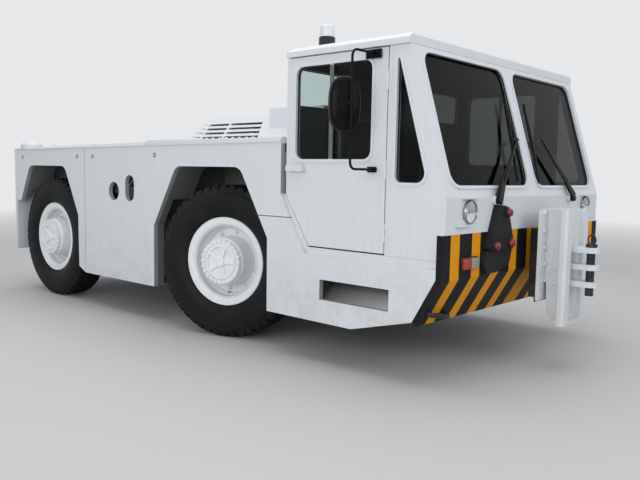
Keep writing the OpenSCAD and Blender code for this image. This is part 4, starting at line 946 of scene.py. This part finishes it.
vinyl = plain_finish("seat_vinyl", (0.022, 0.022, 0.024, 1), (0.034, 0.034, 0.036, 1), 14, 0.42, bump=0.4)
stands = bmesh.new()
for side, name in SIDES:
    foot = Vector((SEAT_BACK_X, side * SEAT_Y, 0))
    for back, front, half, low, high, rounding in SEAT_BOXES:
        add_box(stands, foot + Vector((back, -half, low)), foot + Vector((front, half, high)), rounding)
    for part, low, high, front, channels in SEAT_PADS:
        low, high = foot + Vector(low), foot + Vector(high)
        bm = bmesh.new()
        bmesh.ops.create_cube(bm, size=2)
        bmesh.ops.subdivide_edges(bm, edges=bm.edges[:], cuts=11, use_grid_fill=True)
        for vert in bm.verts:
            vert.co = (low + high) / 2 + shape_pad(vert.co, front, channels) * (high - low) / 2
        face_outward(bm)
        pad = piece_from(bm, f"seat_{part}_{name}", vinyl, smooth=math.pi)
        soften = pad.modifiers.new("soften", "SUBSURF")
        soften.levels = 1
        soften.render_levels = 1
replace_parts(piece_from(stands, "seat_stands", black_steel), "seats")


# Mirrors
# Bent black tube loops on brackets screwed to the doors, each with a deep moulded head clamped to its upright
# and a glass that looks back.
MIRROR_X = 2.0625
MIRROR_OUT = 1.440
MIRROR_ROOT = 1.199
BRACKET_FACE = MIRROR_ROOT + 0.014
MIRROR_TOP_Z = 2.090
MIRROR_LOW_Z = 1.362
BRACKETS = ((0.078, 0.042, MIRROR_TOP_Z, 0.028), (0.045, 0.022, MIRROR_LOW_Z, 0.018))
BRACKET_SCREW = (-0.001, 0.005, 0.008, 0.008)
TUBE_BEND = 0.045
TUBE_RADIUS = 0.008
HEAD_AT = (-0.064, -0.018, 1.764)
HEAD_HALF = (0.101, 0.170)
HEAD_POWER = 2.7
HEAD_TURN = math.radians(35)
HEAD_SECTIONS = ((-0.034, 0.915), (-0.040, 0.93), (-0.041, 0.97), (-0.036, 0.995), (-0.025, 1.0),
                 (0.002, 0.99), (0.013, 0.955), (0.022, 0.885), (0.030, 0.76), (0.0355, 0.58),
                 (0.0385, 0.36), (0.040, 0.12))
GLASS_SECTIONS = ((-0.0015, 0.9), (0.0015, 0.9))
GLASS_BACK = 0.037


def add_side_box(bm, side, low, high, round_edges):
    """A box given for the left side, put on either."""
    near, far = sorted((side * low[1], side * high[1]))
    add_box(bm, (low[0], near, low[2]), (high[0], far, high[2]), round_edges)


def add_stack(bm, place, outline, sections):
    """Adds a closed shell through scaled copies of an outline, one for each (depth, scale)."""
    part = bmesh.new()
    rings = [[part.verts.new((x * scale, y * scale, depth)) for x, y in outline] for depth, scale in sections]
    for lower, upper in zip(rings, rings[1:]):
        for index in range(len(outline)):
            part.faces.new((lower[index - 1], lower[index], upper[index], upper[index - 1]))
    part.faces.new(reversed(rings[0]))
    part.faces.new(rings[-1])
    merge_into(bm, part, place)


def oval(half, power, count=56):
    """Points of a rounded outline between an ellipse and its rectangle."""
    for index in range(count):
        angle = math.tau * index / count
        yield tuple(size * math.copysign(abs(part) ** (2 / power), part)
                    for size, part in zip(half, (math.cos(angle), math.sin(angle))))


def bend(y, z, start, steps=6):
    """Points of a quarter bend of the tube round a centre in Y and Z, turning down from start degrees."""
    for step in range(steps + 1):
        angle = math.radians(start - 90 * step / steps)
        yield y + TUBE_BEND * math.cos(angle), z + TUBE_BEND * math.sin(angle)


mirror_black = plain_finish("mirror_black", (0.006, 0.006, 0.007, 1), (0.010, 0.010, 0.011, 1), 10, 0.22,
                            spread=0.06, bump=0.05, specular=0.05)
mirror_silver = plain_finish("mirror_silver", (0.82, 0.83, 0.84, 1), (0.78, 0.79, 0.80, 1), 4, 0.05,
                             spread=0.02, metallic=1.0, bump=0.0)
inner = MIRROR_OUT - TUBE_BEND
loop = [(MIRROR_ROOT, MIRROR_TOP_Z), *bend(inner, MIRROR_TOP_Z - TUBE_BEND, 90),
        *bend(inner, MIRROR_LOW_Z + TUBE_BEND, 0), (MIRROR_ROOT, MIRROR_LOW_Z)]
head_outline = list(oval(HEAD_HALF, HEAD_POWER))
for side, name in SIDES:
    bm = bmesh.new()
    swept_bar(bm, [(MIRROR_X, side * y, z) for y, z in loop], TUBE_RADIUS, sides=16)
    for back, front, height, half in BRACKETS:
        add_side_box(bm, side, (MIRROR_X - back, MIRROR_ROOT, height - half),
                     (MIRROR_X + front, BRACKET_FACE, height + half), 0.003)
        add_side_box(bm, side, (MIRROR_X, CAB_SIDE + 0.001, height - 0.010),
                     (MIRROR_X + 0.020, MIRROR_ROOT + 0.002, height + 0.010), 0.001)
        for x in (MIRROR_X - back + 0.016, MIRROR_X + front - 0.014):
            add_stubs(bm, facing((x, side * BRACKET_FACE, height), (0, side, 0)), BRACKET_SCREW, sides=12)
    add_side_box(bm, side, (MIRROR_X - 0.048, MIRROR_OUT - 0.014, HEAD_AT[2] - 0.020),
                 (MIRROR_X + 0.012, MIRROR_OUT + 0.010, HEAD_AT[2] + 0.020), 0.004)
    at = Vector((MIRROR_X + HEAD_AT[0], side * (MIRROR_OUT + HEAD_AT[1]), HEAD_AT[2]))
    forward = Vector((math.cos(HEAD_TURN), side * math.sin(HEAD_TURN), 0))
    across = Vector((0, 0, 1)).cross(forward)
    add_stack(bm, upright(across, (0, 0, 1), at), head_outline, HEAD_SECTIONS)
    face_outward(bm)
    arm = piece_from(bm, f"mirror_arm_{name}", mirror_black, f"door_leaf_{name}")
    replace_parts(arm, f"mirror_{name}")
    bm = bmesh.new()
    add_stack(bm, upright(across, (0, 0, 1), at - forward * GLASS_BACK), head_outline, GLASS_SECTIONS)
    piece_from(bm, f"mirror_glass_{name}", mirror_silver, f"door_leaf_{name}")


# Wipers
# Black-painted pantograph arms with rubber blades on pivot bosses in the body's white. One CAD node, whose
# bosses are told apart by their place.
BOSS_TOP = 1.212
BOSS_X = (NOSE_FRONT - 0.001, NOSE_FRONT + 0.027)


def wiper_colors(tree, place, tones):
    x, _, z = split_position(tree, place)
    boss = both(tree, below(tree, x, BOSS_X[1]), below(tree, z, BOSS_TOP), above(tree, x, BOSS_X[0]))
    return [mix_colors(tree, boss, tone, white) for tone, white in zip(tones, (PAINT_WHITE, PAINT_SHADE))]


wiper_paint = painted("wiper_paint", (0.012, 0.012, 0.013, 1), (0.03, 0.03, 0.03, 1), grime=0, roughness=0.35,
                      pattern=wiper_colors, specular=0.1)
finish_nodes(wiper_paint, "wipers")


# Head lamps
# Round sealed-beam lamps in dark steel rims: a bright reflector under a clear fluted lens, over a small
# bracket in body white.
LAMP_Y = 0.922
LAMP_Z = 1.110
LAMP_RIM = ((0.066, 0.0), (0.075, 0.0), (0.075, 0.014), (0.0740, 0.020), (0.0720, 0.0230), (0.0700, 0.0230),
            (0.0685, 0.019), (0.0670, 0.012))
LAMP_DISH = ((0.0, 0.0015), (0.018, 0.002), (0.042, 0.0055), (0.0668, 0.0115), (0.0668, 0.0005),
             (0.0, 0.0005))
LAMP_LENS = ((0.0, 0.026), (0.022, 0.0255), (0.043, 0.0235), (0.059, 0.0195), (0.0675, 0.0145),
             (0.0675, 0.0120), (0.058, 0.0165), (0.043, 0.0205), (0.022, 0.0225), (0.0, 0.023))
LAMP_BULB = (0.001, 0.010, 0.012, 0.009)
BRACKET_PLATES = ((0.150, -0.088, -0.080, 0.028), (0.070, -0.082, -0.050, 0.006))

rim_steel = plain_finish("lamp_rim_steel", (0.40, 0.40, 0.41, 1), (0.22, 0.22, 0.22, 1), 30, 0.3,
                         metallic=1.0)
reflector_silver = plain_finish("reflector_silver", (0.86, 0.87, 0.88, 1), (0.76, 0.77, 0.78, 1), 10, 0.16,
                                spread=0.08, metallic=1.0, bump=0.1)
lens_clear = tinted_glass("lens_clear", (0.90, 0.92, 0.93, 1), 0.04)
rims, reflectors, lenses, brackets = (bmesh.new() for _ in range(4))
for side in (-1, 1):
    spot = facing((NOSE_FRONT, side * LAMP_Y, LAMP_Z), (1, 0, 0))
    add_turned(rims, spot, LAMP_RIM, 48, close=True)
    add_turned(reflectors, spot, LAMP_DISH, 48)
    add_stubs(reflectors, spot, LAMP_BULB, sides=16)
    add_turned(lenses, spot, LAMP_LENS, 48)
    for outer, low, high, depth in BRACKET_PLATES:
        add_side_box(brackets, side, (NOSE_FRONT - 0.001, LAMP_Y + 0.020, LAMP_Z + low),
                     (NOSE_FRONT + depth, LAMP_Y + outer, LAMP_Z + high), 0.002)
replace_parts(piece_from(rims, "head_lamp_rims", rim_steel), "front_lamps")
piece_from(reflectors, "head_lamp_reflectors", reflector_silver)
piece_from(lenses, "head_lamp_lenses", lens_clear)
piece_from(brackets, "head_lamp_brackets", body_paint)


# Signal lamps
# Small rectangular lamps on the striped bumper: an orange-red lens outside and a clear one inside, with fine
# upright ribs, on a black base.
SIGNAL_LOW = (0.805, 0.748)
SIGNAL_HIGH = (1.005, 0.827)
SIGNAL_SPLIT = 0.905
SIGNAL_RIM = 0.006
SIGNAL_DEPTHS = (0.014, 0.030)


def lens_plastic(name, color, deep, ribs_axis=1, rib_scale=190.0, relief=0.5, coat=0.15):
    """Moulded lens plastic with fine ribs across an axis, so many a metre."""
    material, tree, surface = new_material(name)
    place = object_place(tree)
    along = math_node(tree, "MULTIPLY", split_position(tree, place)[ribs_axis], rib_scale * math.tau)
    wave = math_node(tree, "MULTIPLY_ADD", math_node(tree, "SINE", along), 0.5, 0.5)
    blend = math_node(tree, "MULTIPLY", wave, noise(tree, place, 30, 3, 0.5), clamp=True)
    link(tree, mix_colors(tree, blend, color, deep), surface.inputs["Base Color"])
    add_relief(tree, surface, wave, relief, 0.001)
    set_inputs(surface, Roughness=0.12, Coat_Weight=coat)
    return material


signal_orange = lens_plastic("signal_orange", (0.42, 0.045, 0.012, 1), (0.20, 0.018, 0.006, 1))
signal_clear = lens_plastic("signal_clear", (0.34, 0.33, 0.28, 1), (0.16, 0.15, 0.12, 1))
bases, oranges, clears = (bmesh.new() for _ in range(3))
for side in (-1, 1):
    for bm, inner, outer, rise, depth in (
            (bases, SIGNAL_LOW[0], SIGNAL_HIGH[0], 0.0, SIGNAL_DEPTHS[0]),
            (clears, SIGNAL_LOW[0] + SIGNAL_RIM, SIGNAL_SPLIT - 0.001, SIGNAL_RIM, SIGNAL_DEPTHS[1]),
            (oranges, SIGNAL_SPLIT + 0.001, SIGNAL_HIGH[0] - SIGNAL_RIM, SIGNAL_RIM, SIGNAL_DEPTHS[1])):
        add_side_box(bm, side, (NOSE_FRONT - 0.001, inner, SIGNAL_LOW[1] + rise),
                     (NOSE_FRONT + depth, outer, SIGNAL_HIGH[1] - rise), 0.004)
piece_from(bases, "signal_bases", black_plastic)
piece_from(oranges, "signal_lenses_orange", signal_orange)
piece_from(clears, "signal_lenses_clear", signal_clear)


# Lamp housing on the nose
# A tall moulded rubber housing that narrows upward, three red lamps standing out of it in their sockets, and
# a bracket foot below.
POD_BACK = ((-0.728, 0.838, 0.045), (-0.360, 0.838, 0.045), (-0.470, 1.104, 0.055), (-0.500, 1.148, 0.020),
            (-0.602, 1.148, 0.020))
POD_FRONT = ((-0.719, 0.846, 0.037), (-0.371, 0.846, 0.037), (-0.478, 1.101, 0.047), (-0.505, 1.140, 0.014),
             (-0.596, 1.140, 0.014))
POD_FOOT = ((-0.722, 0.705, 0.020), (-0.590, 0.705, 0.020), (-0.410, 0.757, 0.020), (-0.385, 0.850, 0.002),
            (-0.722, 0.850, 0.002), (-0.765, 0.790, 0.015))
POD_MIDDLE = (-0.56, 1.0)
POD_DEPTH = 0.050
FOOT_DEPTH = 0.034
POD_LAMPS = ((-0.505, 1.098), (-0.655, 0.884), (-0.452, 0.892))
LAMP_SOCKET = ((0.0, -0.004), (0.036, -0.004), (0.036, 0.006), (0.033, 0.011), (0.029, 0.011), (0.027, 0.004),
               (0.0, 0.004))
POD_LENS = ((0.0, 0.0), (0.0285, 0.0), (0.0285, 0.016), (0.026, 0.026), (0.020, 0.034), (0.010, 0.0385),
            (0.0, 0.039))


def round_middle(co):
    """Angle at which a corner is seen from the housing's middle."""
    return math.atan2(co.y - POD_MIDDLE[1], co.x - POD_MIDDLE[0])


housing_rubber = plain_finish("housing_rubber", (0.016, 0.017, 0.018, 1), (0.024, 0.024, 0.025, 1), 12, 0.55,
                              bump=0.4, specular=0.1)
red_lens = lens_plastic("red_lens", (0.17, 0.006, 0.014, 1), (0.08, 0.003, 0.008, 1), rib_scale=120)
on_nose = upright((0, 1, 0), (0, 0, 1), (NOSE_FRONT, 0, 0))
housing = bmesh.new()
front = bmesh.new()
pane_face(front, POD_FRONT)
goal = sorted((vert.co.copy() for vert in front.verts), key=round_middle)
front.free()
shell = bmesh.new()
pane_face(shell, POD_BACK)
top = extrude_up(shell, shell.faces[:])[0]
for vert, co in zip(sorted(top, key=lambda vert: round_middle(vert.co)), goal):
    vert.co = (co.x, co.y, POD_DEPTH)
merge_into(housing, shell, on_nose)
foot = bmesh.new()
pane_face(foot, POD_FOOT)
bmesh.ops.translate(foot, vec=(0, 0, FOOT_DEPTH), verts=extrude_up(foot, foot.faces[:])[0])
merge_into(housing, foot, on_nose)
lamps = bmesh.new()
for y, z in POD_LAMPS:
    spot = facing((NOSE_FRONT + POD_DEPTH, y, z), (1, 0, 0))
    add_turned(housing, spot, LAMP_SOCKET, 28)
    add_turned(lamps, spot, POD_LENS, 28)
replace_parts(piece_from(housing, "lamp_housing", housing_rubber), "lamp_pod")
piece_from(lamps, "housing_lamps", red_lens)


# Beacon
# A black foot and collar on the roof under a ribbed dome of clear plastic gone milky. Both are turned on the
# beacon's own axis.
BEACON_AT = (1.4175, -0.945, 2.2)
BEACON_FOOT = ((0.0, 0.0), (0.070, 0.0), (0.069, 0.006), (0.064, 0.020), (0.060, 0.033), (0.059, 0.094),
               (0.056, 0.100), (0.0, 0.100))
DOME_FOOT = 0.099
DOME_RIBS = 7
DOME_PITCH = 0.011

dome_plastic = lens_plastic("dome_plastic", (0.74, 0.76, 0.77, 1), (0.60, 0.62, 0.63, 1), ribs_axis=2,
                            rib_scale=90, relief=0.1, coat=0.1)
place = Matrix.Translation(BEACON_AT)
bm = bmesh.new()
add_turned(bm, place, BEACON_FOOT, 40)
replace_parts(piece_from(bm, "beacon_base", black_plastic), "beacon")
profile = [(0.0, DOME_FOOT), (0.054, DOME_FOOT)]
for rib in range(DOME_RIBS):
    height = DOME_FOOT + DOME_PITCH * rib
    profile += [(0.053, height + 0.001), (0.053, height + 0.007), (0.0505, height + 0.0095)]
profile += [(0.050, 0.178), (0.045, 0.184), (0.030, 0.188), (0.0, 0.189)]
bm = bmesh.new()
add_turned(bm, place, profile, 40)
piece_from(bm, "beacon_dome", dome_plastic)


# Studio
# A pale floor that runs out into the backdrop's colour, soft light from above and from the camera's side, and
# the camera at the photograph's place.
CAMERA_AT = Vector((4.8345, -4.815, 1.338))
CAMERA_RIGHT = Vector((0.74536, 0.66638, 0.01963))
CAMERA_UP = Vector((-0.07824, 0.05818, 0.99524))
CAMERA_FORWARD = Vector((-0.66206, 0.74334, -0.09550))
CAMERA_LENS = 39.68
FLOOR_COLOR = (0.50, 0.50, 0.50, 1)
FLOOR_SIZE = 80
FLOOR_FADE = (6.0, 18.0)
BACKDROP = (0.80, 0.81, 0.82, 1)
SKY_LIGHT = (0.93, 0.96, 1.0, 1)
SKY_STRENGTH = 0.55


def mix_shaders(tree, factor, first, second, output):
    """Joins two shaders and sends the outcome to the output's surface."""
    mixer = add_node(tree, "ShaderNodeMixShader")
    for source, socket in zip((factor, first.outputs[0], second.outputs[0]), mixer.inputs):
        link(tree, source, socket)
    link(tree, mixer.outputs[0], output.inputs["Surface"])


def add_softbox(name, at, target, size, power):
    data = bpy.data.lights.new(name, "AREA")
    data.shape = "RECTANGLE"
    data.size, data.size_y = size
    data.energy = power
    lamp = bpy.data.objects.new(name, data)
    lamp.location = at
    lamp.rotation_euler = (Vector(target) - Vector(at)).to_track_quat("-Z", "Y").to_euler()
    bpy.context.scene.collection.objects.link(lamp)


scene = bpy.context.scene

# The floor glows in the backdrop's colour far out, for the camera only.
bm = bmesh.new()
bmesh.ops.create_grid(bm, x_segments=1, y_segments=1, size=FLOOR_SIZE)
mesh = bpy.data.meshes.new("floor")
bm.to_mesh(mesh)
bm.free()
floor = bpy.data.objects.new("floor", mesh)
scene.collection.objects.link(floor)
material, tree, surface = new_material("floor")
set_inputs(surface, Base_Color=FLOOR_COLOR, Roughness=0.7)
reach = add_node(tree, "ShaderNodeVectorMath", operation="LENGTH")
link(tree, object_place(tree), reach.inputs[0])
rays = add_node(tree, "ShaderNodeLightPath").outputs
shown = both(tree, band(tree, reach.outputs["Value"], *FLOOR_FADE), rays["Is Camera Ray"])
glow = add_node(tree, "ShaderNodeEmission")
set_inputs(glow, Color=BACKDROP)
mix_shaders(tree, shown, surface, glow, tree.nodes["Material Output"])
mesh.materials.append(material)

# Sky light falls on the object; the camera, glass and reflections see the backdrop's colour.
scene.world = bpy.data.worlds.new("studio")
scene.world.use_nodes = True
tree = scene.world.node_tree
tree.nodes.clear()
light = add_node(tree, "ShaderNodeBackground")
set_inputs(light, Color=SKY_LIGHT, Strength=SKY_STRENGTH)
backdrop = add_node(tree, "ShaderNodeBackground")
set_inputs(backdrop, Color=BACKDROP, Strength=1.0)
rays = add_node(tree, "ShaderNodeLightPath").outputs
shown = either(tree, rays["Is Camera Ray"], rays["Is Transmission Ray"], rays["Is Glossy Ray"])
mix_shaders(tree, shown, light, backdrop, add_node(tree, "ShaderNodeOutputWorld"))
add_softbox("sky", (0, 0, 8), (0, 0, 0), (12, 9), 460)
add_softbox("side", (3.5, -9, 3.0), (0, 0, 1), (7, 4), 290)
add_softbox("front", (9, -1, 4), (1, 0, 1), (5, 4), 120)

data = bpy.data.cameras.new("camera")
data.sensor_width = 36
data.lens = CAMERA_LENS
camera = bpy.data.objects.new("camera", data)
turn = Matrix((CAMERA_RIGHT, CAMERA_UP, -CAMERA_FORWARD)).transposed()
camera.matrix_world = Matrix.Translation(CAMERA_AT) @ turn.to_4x4()
scene.collection.objects.link(camera)
scene.camera = camera
scene.view_settings.view_transform = "Standard"
